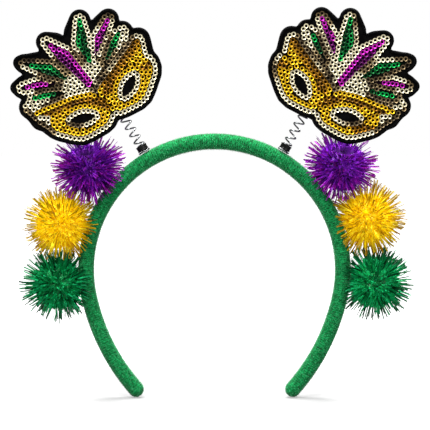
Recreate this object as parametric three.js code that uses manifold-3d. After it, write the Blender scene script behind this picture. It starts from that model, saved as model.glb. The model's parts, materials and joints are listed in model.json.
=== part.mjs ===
// A carnival headband: a padded velour band that carries two sequinned masks on coil springs
// and three tinsel pompoms on each side.
// Millimetres, +Z up, +X to the right of someone who faces it, -Y towards them.
// The origin is the crown of the head: the middle of the band's underside.
import * as THREE from "three";
import { mergeVertices } from "three/addons/utils/BufferGeometryUtils.js";
import Module from "manifold-3d";

const wasm = await Module();
wasm.setup();

// Driving dimensions

const GAP = 0.3; // between pieces that touch or are glued
const FINEST = 0.13; // facets finer than this are merged

const BAND = {
  archRadius: 72, // centreline
  thickness: 8.9, // in the plane of the arch
  depth: 10, // front to back
  archEnd: 102, // degrees from the top to where the legs begin
  legRadius: 116, // the legs' centreline curves in more gently than the arch
  legLength: 59.3, // along the curve, as far as the middle of the round tip
  sides: 12,
  steps: 44,
};

const SPRING = {
  wire: 0.7,
  wireSides: 4,
  stepsPerTurn: 9,
};

// The spring's wire from its foot to its end: turns wound so far, height and radius of the wire's middle.
const COIL = [
  { turn: 0, height: 0.65, radius: 3.1 },
  { turn: 0.85, height: 0.75, radius: 3.1 },
  { turn: 1.2, height: 1.3, radius: 2.05 },
  { turn: 2.9, height: 4.6, radius: 2.05 },
  { turn: 3.3, height: 5.3, radius: 2.5 },
  { turn: 6.95, height: 22.5, radius: 2.5 },
  { turn: 9.45, height: 25.5, radius: 2.5 },
];

const COLLAR = { foot: 1.4, height: 3.1, bore: 2.7, waist: 3.0, lip: 3.3, sides: 12 };

const MASK = {
  tilt: 43.5, // degrees from upright to the middle feather, outwards
  felt: 2.0, // thickness of the backing
  rimWidth: 2.3, // stitched rim round the backing
  rimRaise: 0.9,
  trimWidth: 3.0, // one row of sequins
  sequins: 0.8, // height of a sewn field of sequins
  roundSides: 16, // corners on a full circle of the outline
};

// Rounded forms of the mask, each the smallest outline round a few discs. Millimetres from the notch:
// x is positive towards the middle of the headband, and y runs up along the middle feather.
const disc = (x, y, r) => ({ x, y, r });

const FACE_FORMS = [
  { name: "nose", discs: [disc(0, 11, 5.5)] },
  { name: "outer cheek", discs: [disc(-7.5, 10.3, 7.0), disc(-17, 14.6, 9.0), disc(-24, 21.5, 6.9)] },
  { name: "inner cheek", discs: [disc(7, 9.2, 7.2), disc(16, 9.8, 10.3), disc(25.5, 13, 8.7)] },
  { name: "outer brow", discs: [disc(-5.5, 18.5, 5.2), disc(-14, 22.5, 6.0), disc(-31.6, 34.0, 1.5)] },
  { name: "inner brow", discs: [disc(4.5, 16.5, 4.5), disc(30, 20.3, 4.8), disc(36, 24.5, 1.8)] },
];

// Base, belly and tip of each feather
const FEATHERS = [
  {
    name: "outer_low",
    colour: "green",
    discs: [disc(-14, 33.1, 0.8), disc(-22, 38, 2.0), disc(-27.2, 41, 1.0)],
  },
  {
    name: "outer_mid",
    colour: "purple",
    discs: [disc(-13.6, 39.4, 0.8), disc(-20.5, 45, 2.0), disc(-27.6, 49.3, 1.0)],
  },
  {
    name: "outer_high",
    colour: "green",
    discs: [disc(-6.3, 36.4, 0.9), disc(-10.1, 46.6, 3.2), disc(-17.8, 58.6, 0.4)],
  },
  {
    name: "middle",
    colour: "purple",
    discs: [disc(0.9, 26, 2.3), disc(1.2, 46, 3.7), disc(-0.7, 59, 0.6)],
  },
  {
    name: "inner_high",
    colour: "green",
    discs: [disc(9.4, 33.8, 1.0), disc(13.4, 44.7, 3.4), disc(21.2, 54.9, 0.9)],
  },
  {
    name: "inner_mid",
    colour: "purple",
    discs: [disc(15.5, 35.5, 0.8), disc(21.5, 39.8, 2.4), disc(33.1, 44.3, 0.9)],
  },
  {
    name: "inner_low",
    colour: "green",
    discs: [disc(16.5, 28.8, 0.6), disc(26, 32.3, 2.1), disc(32, 34.6, 1.0)],
  },
];

// Where the pale rows of sequins spread wider than one row
const SPREADS = [
  { name: "outer horn", discs: [disc(-31.9, 38.6, 1.6), disc(-26, 35.5, 1.0)] },
  { name: "inner horn", discs: [disc(34.2, 34, 0.8), disc(28, 29, 1.0)] },
  { name: "outer temple", discs: [disc(-32.3, 30.5, 0.5), disc(-30.6, 24.5, 0.5)] },
  { name: "outer fan", discs: [disc(-8.5, 32, 3.5)] },
  { name: "inner fan", discs: [disc(9.5, 28.5, 3.5)] },
];

// Where the felt's edge stands further out than the rows of sequins and the rim ask for
const EDGE_FORMS = [
  { name: "outer cheek", discs: [disc(-30.8, 23.5, 5.8), disc(-29.3, 18.6, 5.8), disc(-26.3, 13.6, 5.8)] },
  { name: "outer brow", discs: [disc(-31.4, 29.9, 7.4)] },
  { name: "outer mid feather", discs: [disc(-30, 51.8, 4), disc(-26, 50.4, 5.3)] },
  { name: "outer high feather", discs: [disc(-19, 60.4, 4.4), disc(-11.8, 54.2, 5.8)] },
  { name: "middle feather", discs: [disc(-0.7, 59, 5.9), disc(2.9, 55, 5.8)] },
  { name: "inner high feather", discs: [disc(21.2, 54.9, 6.2), disc(14, 52.3, 5.7)] },
  { name: "inner mid feather", discs: [disc(33.1, 44.3, 6.2), disc(28.6, 45, 5.6)] },
  { name: "inner brow", discs: [disc(37.6, 24.8, 6.8), disc(31.5, 19.2, 9.3)] },
  { name: "outer valley", discs: [disc(-22.3, 50.2, 5)] },
  { name: "outer middle valley", discs: [disc(-7.3, 53, 5.2)] },
  { name: "inner middle valley", discs: [disc(8.6, 50.5, 4.6)] },
  { name: "inner valley", discs: [disc(26.5, 45.3, 5.1)] },
];

const EYES = [
  { place: "outer", x: -15, y: 14.3, halfLength: 7.4, halfWidth: 2.6, slant: -31 },
  { place: "inner", x: 16, y: 9.7, halfLength: 7.0, halfWidth: 2.8, slant: 18 },
];

const TAB = { halfWidth: 7.5, thickness: 1.0, length: 7.0, footHeight: 23.4 };

const POMPOM = {
  tipRadius: 20.5, // to the ends of the tinsel
  coreRadius: 12.5,
  lockRadius: 3.6,
  locks: 32,
  shortest: 0.9, // the shortest lock, as a share of the longest
};

// Where each pompom sits: degrees from the top of the arch, and distance from the arch's centre.
const POMPOMS = [
  { side: "left", colour: "purple", angle: 50.9, distance: 90.6 },
  { side: "left", colour: "gold", angle: 73.4, distance: 89.5 },
  { side: "left", colour: "green", angle: 95.3, distance: 87.9 },
  { side: "right", colour: "purple", angle: 50.6, distance: 91.6 },
  { side: "right", colour: "gold", angle: 71.5, distance: 90.5 },
  { side: "right", colour: "green", angle: 94.5, distance: 90.1 },
];
const MASK_CLEARANCE = 1.2; // round the mask, where it pushes the tinsel back
const MASK_PUSH = 1.0; // how far behind the middle plane the tinsel is pushed there
const NOD_CLEARANCE = 5.7; // round the front of the mask, whose edge dips when the spring bends forwards

// Where each half's spring and mask sit; the two differ a little, as glued work does.
const SIDES = [
  {
    name: "left",
    sign: -1,
    seatAngle: 30.6, // of the spring, degrees from the top of the arch
    lean: 31.2, // of the spring, degrees from upright, outwards
    windFrom: -83, // where the spring's wire starts, degrees round its axis
    notchAcross: 52.4, // the notch under the mask's nose, from the middle of the headband
    notchAboveCentre: 85.0, // the same notch above the centre of the arch
  },
  {
    name: "right",
    sign: 1,
    seatAngle: 30.0,
    lean: 29.6,
    windFrom: -105,
    notchAcross: 52.9,
    notchAboveCentre: 85.8,
  },
];

const MATERIALS = {
  velour: new THREE.MeshStandardMaterial({ color: 0x0f8a47, roughness: 0.95, metalness: 0 }),
  steel: new THREE.MeshStandardMaterial({ color: 0xb9bcc0, roughness: 0.25, metalness: 1 }),
  rubber: new THREE.MeshStandardMaterial({ color: 0x141615, roughness: 0.6, metalness: 0 }),
  felt: new THREE.MeshStandardMaterial({ color: 0x111011, roughness: 0.9, metalness: 0 }),
  champagne: new THREE.MeshStandardMaterial({ color: 0xf2dfb0, roughness: 0.25, metalness: 0.9 }),
  gold: new THREE.MeshStandardMaterial({ color: 0xf0a814, roughness: 0.25, metalness: 0.9 }),
  purple: new THREE.MeshStandardMaterial({ color: 0x8a1fa8, roughness: 0.3, metalness: 0.8 }),
  green: new THREE.MeshStandardMaterial({ color: 0x0c8a44, roughness: 0.3, metalness: 0.8 }),
};

// Values worked out from the driving dimensions

const radians = THREE.MathUtils.degToRad;
const ARCH_CENTRE_Z = BAND.thickness / 2 - BAND.archRadius;
const BAND_OUTER_RADIUS = BAND.archRadius + BAND.thickness / 2;
const COIL_OUTER_RADIUS = COIL.at(-1).radius + SPRING.wire / 2;
const MASK_BACK_Y = -(COIL_OUTER_RADIUS + GAP);
const FIELD_FOOT = MASK.felt + GAP;

// Solids

function solidOf(geometry) {
  const bare = geometry.clone();
  bare.deleteAttribute("normal");
  bare.deleteAttribute("uv");
  const merged = mergeVertices(bare, 1e-4);
  return new wasm.Manifold(
    new wasm.Mesh({
      numProp: 3,
      vertProperties: new Float32Array(merged.attributes.position.array),
      triVerts: new Uint32Array(merged.index.array),
    }),
  );
}

function geometryOf(solid) {
  const mesh = solid.asOriginal().simplify(FINEST).getMesh();
  const geometry = new THREE.BufferGeometry();
  geometry.setAttribute("position", new THREE.BufferAttribute(mesh.vertProperties, 3));
  geometry.setIndex(new THREE.BufferAttribute(mesh.triVerts, 1));
  geometry.computeVertexNormals();
  return geometry;
}

function joined(solids) {
  return wasm.Manifold.union(solids).asOriginal();
}

// The largest body of a cut solid, without the crumbs that a cut leaves
function mainBody(solid) {
  const bodies = solid.decompose();
  return bodies.reduce((largest, body) => (body.volume() > largest.volume() ? body : largest));
}

function namedMesh(name, geometry, material) {
  const mesh = new THREE.Mesh(geometry, material);
  mesh.name = name;
  return mesh;
}

// A point at an angle from the top of the arch and a distance from its centre
function onArch(angle, distance, sign) {
  return new THREE.Vector3(
    sign * distance * Math.sin(radians(angle)),
    0,
    ARCH_CENTRE_Z + distance * Math.cos(radians(angle)),
  );
}

// Band

// The band's centreline from the left tip over the head to the right tip
class BandCurve extends THREE.Curve {
  getPoint(t, target = new THREE.Vector3()) {
    const halfArch = radians(BAND.archEnd) * BAND.archRadius;
    const along = (2 * t - 1) * (halfArch + BAND.legLength);
    const sign = Math.sign(along) || 1;
    const angle = Math.min(Math.abs(along), halfArch) / BAND.archRadius;
    const turned = angle + Math.max(0, Math.abs(along) - halfArch) / BAND.legRadius;
    const offset = BAND.archRadius - BAND.legRadius; // of the leg's centre of curvature
    return target.set(
      sign * (offset * Math.sin(angle) + BAND.legRadius * Math.sin(turned)),
      0,
      ARCH_CENTRE_Z + offset * Math.cos(angle) + BAND.legRadius * Math.cos(turned),
    );
  }
}

function bandSolid(grow) {
  const halfDepth = BAND.depth / 2 + grow;
  const halfThickness = BAND.thickness / 2 + grow;
  const section = new THREE.Shape(
    Array.from({ length: BAND.sides }, (_, i) => {
      const turn = (2 * Math.PI * i) / BAND.sides;
      return new THREE.Vector2(halfDepth * Math.cos(turn), halfThickness * Math.sin(turn));
    }),
  );
  const curve = new BandCurve();
  const sleeve = new THREE.ExtrudeGeometry(section, { steps: BAND.steps, extrudePath: curve });
  const tips = [0, 1].map((end) => {
    const tip = new THREE.SphereGeometry(1, BAND.sides, BAND.sides / 2);
    tip.scale(halfDepth, halfThickness, halfThickness);
    tip.rotateZ(Math.PI / 2);
    const place = curve.getPoint(end);
    const sign = Math.sign(place.x);
    tip.rotateY(sign * (radians(BAND.archEnd) + BAND.legLength / BAND.legRadius));
    return solidOf(tip.translate(place.x, place.y, place.z));
  });
  return joined([solidOf(sleeve), ...tips]);
}

// Springs and collars

class CoilCurve extends THREE.Curve {
  getPoint(t, target = new THREE.Vector3()) {
    const turn = t * COIL.at(-1).turn;
    const next = Math.max(1, COIL.findIndex((row) => row.turn >= turn));
    const [from, to] = [COIL[next - 1], COIL[next]];
    const share = (turn - from.turn) / (to.turn - from.turn);
    const radius = THREE.MathUtils.lerp(from.radius, to.radius, share);
    const height = THREE.MathUtils.lerp(from.height, to.height, share);
    const angle = 2 * Math.PI * turn;
    return target.set(radius * Math.cos(angle), radius * Math.sin(angle), height);
  }

  // Steps follow the turns rather than the length, so that the close turns stay round.
  getPointAt(u, target) {
    return this.getPoint(u, target);
  }

  getTangentAt(u, target) {
    return this.getTangent(u, target);
  }
}

function springGeometry(windFrom) {
  const section = new THREE.Shape(
    Array.from({ length: SPRING.wireSides }, (_, i) => {
      const turn = (2 * Math.PI * i) / SPRING.wireSides;
      return new THREE.Vector2(Math.cos(turn), Math.sin(turn)).multiplyScalar(SPRING.wire / 2);
    }),
  );
  const steps = Math.round(COIL.at(-1).turn * SPRING.stepsPerTurn);
  const wire = new THREE.ExtrudeGeometry(section, { steps, extrudePath: new CoilCurve() });
  return wire.rotateZ(radians(windFrom));
}

function collarGeometry() {
  const top = COLLAR.foot + COLLAR.height;
  const profile = [
    new THREE.Vector2(COLLAR.bore, COLLAR.foot),
    new THREE.Vector2(COLLAR.lip, COLLAR.foot),
    new THREE.Vector2(COLLAR.waist, COLLAR.foot + COLLAR.height / 2),
    new THREE.Vector2(COLLAR.lip, top),
    new THREE.Vector2(COLLAR.bore, top),
    new THREE.Vector2(COLLAR.bore, COLLAR.foot),
  ];
  return new THREE.LatheGeometry(profile, COLLAR.sides).rotateX(Math.PI / 2);
}

// A strip of felt that arches over the spring's end, with a flange on each side glued to the mask's back
function tabGeometry() {
  const bore = COIL_OUTER_RADIUS + GAP;
  const outer = bore + TAB.thickness;
  const glued = MASK_BACK_Y + GAP;
  const flange = glued + TAB.thickness;
  const shape = new THREE.Shape();
  shape.moveTo(-TAB.halfWidth, flange);
  shape.lineTo(-TAB.halfWidth, glued);
  shape.lineTo(-bore, glued);
  shape.lineTo(-bore, 0);
  shape.absarc(0, 0, bore, Math.PI, 0, true);
  shape.lineTo(bore, glued);
  shape.lineTo(TAB.halfWidth, glued);
  shape.lineTo(TAB.halfWidth, flange);
  shape.lineTo(outer, flange);
  shape.lineTo(outer, 0);
  shape.absarc(0, 0, outer, 0, Math.PI, false);
  shape.lineTo(-outer, flange);
  const options = { depth: TAB.length, bevelEnabled: false, curveSegments: 5 };
  return new THREE.ExtrudeGeometry(shape, options).translate(0, 0, TAB.footHeight);
}

// A spring and its collar stand on the band's outer face and lean outwards.
function springGroup(side) {
  const group = new THREE.Group();
  group.position.copy(onArch(side.seatAngle, BAND_OUTER_RADIUS, side.sign));
  group.rotation.y = side.sign * radians(side.lean);
  group.add(namedMesh(`${side.name}_spring`, springGeometry(side.windFrom), MATERIALS.steel));
  group.add(namedMesh(`${side.name}_collar`, collarGeometry(), MATERIALS.rubber));
  group.add(namedMesh(`${side.name}_spring_tab`, tabGeometry(), MATERIALS.felt));
  return group;
}

// Mask outlines, in the mask's own plane

function hullOf(points) {
  const sorted = [...points].sort((a, b) => a.x - b.x || a.y - b.y);
  const half = (row) => {
    const chain = [];
    for (const p of row) {
      while (chain.length > 1) {
        const [a, b] = chain.slice(-2);
        if ((b.x - a.x) * (p.y - a.y) - (b.y - a.y) * (p.x - a.x) > 0) break;
        chain.pop();
      }
      chain.push(p);
    }
    return chain.slice(0, -1);
  };
  return [...half(sorted), ...half(sorted.reverse())];
}

// The smallest outline round the discs of a form, grown by a margin. A hand of -1 mirrors it.
function roundedShape(form, hand, grow) {
  const points = form.discs.flatMap(({ x, y, r }) =>
    Array.from({ length: MASK.roundSides }, (_, i) => {
      const turn = (2 * Math.PI * (i + 0.5)) / MASK.roundSides;
      const reach = r + grow;
      return new THREE.Vector2(hand * x + reach * Math.cos(turn), y + reach * Math.sin(turn));
    }),
  );
  return new THREE.Shape(hullOf(points));
}

// An almond of two arcs that meet at the corners of the eye, grown by a margin
function eyeShape(eye, hand, grow) {
  const arcRadius = (eye.halfLength ** 2 + eye.halfWidth ** 2) / (2 * eye.halfWidth);
  const halfAngle = Math.asin(eye.halfLength / arcRadius);
  const arcSteps = 5;
  const reach = arcRadius + grow;
  const arc = Array.from({ length: arcSteps + 1 }, (_, i) => {
    const angle = halfAngle * (1 - (2 * i) / arcSteps);
    return new THREE.Vector2(reach * Math.sin(angle), reach * Math.cos(angle) + eye.halfWidth - arcRadius);
  });
  const corner = new THREE.Vector2(-eye.halfLength - grow, 0);
  const upper = [...arc, corner];
  const lower = upper.map((p) => p.clone().negate());
  const centre = new THREE.Vector2(hand * eye.x, eye.y);
  const slant = hand * radians(eye.slant);
  const middle = new THREE.Vector2();
  return new THREE.Shape([...upper, ...lower].map((p) => p.rotateAround(middle, slant).add(centre)));
}

// Mask solids: local X across, Y up, Z out of the front

function slab(shape, foot, top) {
  const geometry = new THREE.ExtrudeGeometry(shape, { depth: top - foot, bevelEnabled: false });
  return solidOf(geometry.translate(0, 0, foot));
}

function formsSlab(forms, hand, grow, foot, top) {
  return joined(forms.map((form) => slab(roundedShape(form, hand, grow), foot, top)));
}

function eyesSlab(hand, grow, foot, top) {
  return joined(EYES.map((eye) => slab(eyeShape(eye, hand, grow), foot, top)));
}

const COLOURED = [...FACE_FORMS, ...FEATHERS];
const SEWN = [...COLOURED, ...SPREADS];
const FELT_GROW = MASK.trimWidth + MASK.rimWidth;
const FIELD_TOP = FIELD_FOOT + MASK.sequins;
const CUT_FOOT = -1; // cutters reach past the slabs that they cut
const CUT_TOP = 10;

// The felt's whole outline, grown by a margin
function feltSlab(hand, grow, foot, top) {
  const sewn = formsSlab(SEWN, hand, FELT_GROW + grow, foot, top);
  return joined([sewn, formsSlab(EDGE_FORMS, hand, grow, foot, top)]);
}

function backingSolid(hand) {
  const rimTop = MASK.felt + MASK.rimRaise;
  const block = feltSlab(hand, 0, 0, rimTop);
  return block.subtract(formsSlab(SEWN, hand, MASK.trimWidth, MASK.felt, CUT_TOP));
}

function trimSolid(hand) {
  const rows = formsSlab(SEWN, hand, MASK.trimWidth - GAP, FIELD_FOOT, FIELD_TOP);
  return mainBody(rows.subtract(formsSlab(COLOURED, hand, 0, CUT_FOOT, CUT_TOP)));
}

function faceSolid(hand) {
  const face = formsSlab(FACE_FORMS, hand, -GAP, FIELD_FOOT, FIELD_TOP);
  return face.subtract(eyesSlab(hand, MASK.trimWidth, CUT_FOOT, CUT_TOP));
}

function eyeRingSolid(eye, hand) {
  const ring = slab(eyeShape(eye, hand, MASK.trimWidth - GAP), FIELD_FOOT, FIELD_TOP);
  return ring.subtract(slab(eyeShape(eye, hand, 0), CUT_FOOT, CUT_TOP));
}

// An empty group in the mask's place
function maskPlace(side) {
  const group = new THREE.Group();
  group.position.set(
    side.sign * side.notchAcross,
    MASK_BACK_Y,
    ARCH_CENTRE_Z + side.notchAboveCentre,
  );
  group.rotation.set(Math.PI / 2, side.sign * radians(MASK.tilt), 0, "YXZ");
  group.updateMatrixWorld(true);
  return group;
}

function maskGroup(side) {
  const group = maskPlace(side);
  const add = (name, solid, material) =>
    group.add(namedMesh(`${side.name}_${name}`, geometryOf(solid), material));
  const hand = -side.sign;
  add("backing", backingSolid(hand), MATERIALS.felt);
  add("trim", trimSolid(hand), MATERIALS.champagne);
  add("face", faceSolid(hand), MATERIALS.gold);
  for (const eye of EYES) {
    add(`eye_ring_${eye.place}`, eyeRingSolid(eye, hand), MATERIALS.champagne);
  }
  for (const feather of FEATHERS) {
    const field = slab(roundedShape(feather, hand, -GAP), FIELD_FOOT, FIELD_TOP);
    add(`feather_${feather.name}`, field, MATERIALS[feather.colour]);
  }
  return group;
}

// Pompoms

// Directions spread evenly over a ball
function spreadDirections(count) {
  const golden = Math.PI * (3 - Math.sqrt(5));
  return Array.from({ length: count }, (_, i) => {
    const height = 1 - (2 * i + 1) / count;
    const around = Math.sqrt(1 - height * height);
    return new THREE.Vector3(
      around * Math.cos(golden * i),
      around * Math.sin(golden * i),
      height,
    );
  });
}

// A ball of tinsel: pointed locks all over a round heart
function tinselBall(place) {
  const heart = new THREE.IcosahedronGeometry(POMPOM.coreRadius, 1);
  const up = new THREE.Vector3(0, 1, 0);
  const lockFoot = POMPOM.coreRadius * 0.8;
  const locks = spreadDirections(POMPOM.locks).map((direction, i) => {
    const share = POMPOM.shortest + (1 - POMPOM.shortest) * ((i * 7) % 5) / 4;
    const length = POMPOM.tipRadius * share - lockFoot;
    const lock = new THREE.ConeGeometry(POMPOM.lockRadius, length, 3);
    lock.translate(0, lockFoot + length / 2, 0);
    lock.applyQuaternion(new THREE.Quaternion().setFromUnitVectors(up, direction));
    return solidOf(lock);
  });
  return joined([solidOf(heart), ...locks]).translate(place.toArray());
}

// The space that a mask takes in front of the pompom beside it, at rest and as it nods
function maskSpace(side) {
  const hand = -side.sign;
  const front = POMPOM.tipRadius;
  const resting = feltSlab(hand, MASK_CLEARANCE, MASK_BACK_Y - MASK_PUSH, front);
  const nodding = feltSlab(hand, NOD_CLEARANCE, 0, front);
  const space = geometryOf(joined([resting, nodding]));
  return solidOf(space.applyMatrix4(maskPlace(side).matrixWorld));
}

function pompomMesh(row, grownBand) {
  const side = SIDES.find((s) => s.name === row.side);
  const place = onArch(row.angle, row.distance, side.sign);
  let ball = tinselBall(place).subtract(grownBand);
  for (const other of POMPOMS) {
    if (other.side !== row.side || other === row) continue;
    const way = onArch(other.angle, other.distance, side.sign).sub(place);
    if (way.length() > 2 * POMPOM.tipRadius) continue;
    const inwards = way.clone().normalize().negate();
    const middle = place.clone().addScaledVector(way, 0.5);
    ball = ball.trimByPlane(inwards.toArray(), inwards.dot(middle) + GAP / 2);
  }
  if (row.colour === "purple") ball = ball.subtract(maskSpace(side));
  const name = `${row.side}_pompom_${row.colour}`;
  return namedMesh(name, geometryOf(mainBody(ball)), MATERIALS[row.colour]);
}

// The whole headband

const headband = new THREE.Group();
headband.add(namedMesh("band", geometryOf(bandSolid(0)), MATERIALS.velour));
for (const side of SIDES) {
  headband.add(springGroup(side));
  headband.add(maskGroup(side));
}
const grownBand = bandSolid(GAP);
for (const row of POMPOMS) headband.add(pompomMesh(row, grownBand));

export default headband;
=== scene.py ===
"""Dress the mask headband: velour band, sprung sequin masks and tinsel pompoms.

Sizes are in millimetres and turned into metres by MM where they reach a mesh. X runs across the head,
Z up, and -Y towards someone who faces the headband.
"""

from __future__ import annotations

import json
import logging
import math
from dataclasses import dataclass, field
from enum import Enum
from typing import Any

import bmesh
import bpy
import numpy as np
from mathutils import Matrix, Vector, noise

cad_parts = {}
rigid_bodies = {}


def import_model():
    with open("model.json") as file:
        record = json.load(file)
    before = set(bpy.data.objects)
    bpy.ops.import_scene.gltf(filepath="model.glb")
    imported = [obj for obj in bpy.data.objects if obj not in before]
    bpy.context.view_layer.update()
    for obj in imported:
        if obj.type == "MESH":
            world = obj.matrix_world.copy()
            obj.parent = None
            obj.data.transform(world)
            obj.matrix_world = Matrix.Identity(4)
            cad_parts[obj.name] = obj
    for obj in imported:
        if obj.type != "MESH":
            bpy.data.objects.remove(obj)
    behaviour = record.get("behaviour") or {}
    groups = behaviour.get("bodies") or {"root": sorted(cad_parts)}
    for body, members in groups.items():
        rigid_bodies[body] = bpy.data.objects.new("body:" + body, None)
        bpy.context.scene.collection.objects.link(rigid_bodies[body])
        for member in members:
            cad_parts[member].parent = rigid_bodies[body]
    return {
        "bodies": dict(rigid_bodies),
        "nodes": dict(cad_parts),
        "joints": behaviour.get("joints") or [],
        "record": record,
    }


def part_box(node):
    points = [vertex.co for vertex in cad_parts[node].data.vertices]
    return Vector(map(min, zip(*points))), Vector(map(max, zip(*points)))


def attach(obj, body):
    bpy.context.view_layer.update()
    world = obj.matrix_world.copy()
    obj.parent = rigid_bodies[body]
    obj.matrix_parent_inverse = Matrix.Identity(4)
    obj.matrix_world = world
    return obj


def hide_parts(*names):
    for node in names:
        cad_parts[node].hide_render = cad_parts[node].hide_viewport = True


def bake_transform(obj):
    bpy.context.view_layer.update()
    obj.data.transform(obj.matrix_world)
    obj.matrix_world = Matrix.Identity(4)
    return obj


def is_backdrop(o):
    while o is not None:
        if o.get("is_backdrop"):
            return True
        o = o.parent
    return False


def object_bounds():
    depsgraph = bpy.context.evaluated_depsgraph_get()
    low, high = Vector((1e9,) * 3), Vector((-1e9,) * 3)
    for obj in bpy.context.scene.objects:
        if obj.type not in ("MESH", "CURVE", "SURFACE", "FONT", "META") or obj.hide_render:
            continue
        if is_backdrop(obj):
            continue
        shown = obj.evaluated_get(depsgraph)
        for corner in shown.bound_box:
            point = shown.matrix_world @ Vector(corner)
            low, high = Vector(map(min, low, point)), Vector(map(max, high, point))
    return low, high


MM = 0.001
LOG = logging.getLogger("mask_headband")

Colour = tuple[float, float, float, float]
Frame = dict[str, Any]


class Side(Enum):
    """Half of the headband, as someone who faces it sees it."""

    LEFT = -1
    RIGHT = 1

    @property
    def label(self) -> str:
        """First word of the names of this half's pieces."""
        return self.name.lower()


class Tint(Enum):
    """Colour of a sequin field or a pompom."""

    PALE = "pale_gold"
    GOLD = "gold"
    PURPLE = "purple"
    GREEN = "green"


class Socket(Enum):
    """Kinds of input and output that a node tree has."""

    VALUE = "NodeSocketFloat"
    COUNT = "NodeSocketInt"
    PLACE = "NodeSocketVector"
    COLOUR = "NodeSocketColor"
    MATERIAL = "NodeSocketMaterial"
    GEOMETRY = "NodeSocketGeometry"


def paint(red: int, green: int, blue: int) -> Colour:
    """Turn a screen colour into the linear one that shaders take.

    Args:
        red: Red part, from 0 to 255.
        green: Green part, from 0 to 255.
        blue: Blue part, from 0 to 255.

    Returns:
        The linear colour, opaque.
    """
    parts = [part / 255 for part in (red, green, blue)]
    linear = [p / 12.92 if p <= 0.04045 else ((p + 0.055) / 1.055) ** 2.4 for p in parts]
    return (linear[0], linear[1], linear[2], 1.0)


# Node trees


class NodeSheet:
    """A node tree that is being built."""

    def __init__(self, tree: bpy.types.NodeTree) -> None:
        """Keep the tree that nodes are added to."""
        self.tree = tree

    def open(self, inputs: dict[str, Socket], outputs: dict[str, Socket]) -> bpy.types.NodeOutputs:
        """Give the tree its inputs and outputs.

        Args:
            inputs: Kind of each input, by name.
            outputs: Kind of each output, by name.

        Returns:
            Sockets with the inputs' values.
        """
        for way, sockets in (("INPUT", inputs), ("OUTPUT", outputs)):
            for name, kind in sockets.items():
                self.tree.interface.new_socket(name, in_out=way, socket_type=kind.value)
        return self.add("NodeGroupInput").outputs

    def add(self, kind: str, inputs: dict[str | int, Any] | None = None, **settings: Any) -> bpy.types.Node:
        """Add a node.

        Args:
            kind: Blender's name of the node type.
            inputs: Input sockets by name or number, each with a value or an output socket to join to it.
            **settings: Properties of the node itself.

        Returns:
            The new node.
        """
        node = self.tree.nodes.new(kind)
        for name, value in settings.items():
            setattr(node, name, value)
        self.fill(node, inputs or {})
        return node

    def fill(self, node: bpy.types.Node, inputs: dict[str | int, Any]) -> None:
        """Set a node's inputs.

        Args:
            node: Node of this tree.
            inputs: Input sockets by name or number, each with a value or an output socket to join to it.
        """
        for key, value in inputs.items():
            if isinstance(value, bpy.types.NodeSocket):
                self.tree.links.new(value, node.inputs[key])
            else:
                node.inputs[key].default_value = value

    def math(self, operation: str, *values: Any) -> bpy.types.NodeSocket:
        """Output of a Math node on some values or sockets."""
        return self.add("ShaderNodeMath", dict(enumerate(values)), operation=operation).outputs[0]

    def speckle(self, place: bpy.types.NodeSocket, scale: Any, detail: float) -> bpy.types.NodeSocket:
        """Value of a noise texture at a place."""
        inputs = {"Vector": place, "Scale": scale, "Detail": detail}
        return self.add("ShaderNodeTexNoise", inputs).outputs[0]

    def bump(self, height: Any, strength: float, distance: float) -> bpy.types.NodeSocket:
        """Normal of a surface that a height roughens, over a distance in millimetres."""
        inputs = {"Height": height, "Strength": strength, "Distance": distance * MM}
        return self.add("ShaderNodeBump", inputs).outputs[0]

    def blend(self, share: Any, first: Any, second: Any) -> bpy.types.NodeSocket:
        """Mix two colours.

        Args:
            share: Share of the second colour.
            first: First colour, a value or a socket.
            second: Second colour, a value or a socket.

        Returns:
            The mixed colour's socket.
        """
        mixer = self.add("ShaderNodeMix", {0: share, 6: first, 7: second}, data_type="RGBA")
        return mixer.outputs[2]

    def spread(self, value: Any, low: float, high: float) -> bpy.types.NodeSocket:
        """Stretch a range of values to run from 0 to 1, smoothly.

        Args:
            value: Value or socket.
            low: Value that becomes 0.
            high: Value that becomes 1.

        Returns:
            The stretched value's socket.
        """
        inputs = {"Value": value, "From Min": low, "From Max": high}
        return self.add("ShaderNodeMapRange", inputs, interpolation_type="SMOOTHSTEP").outputs["Result"]


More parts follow.
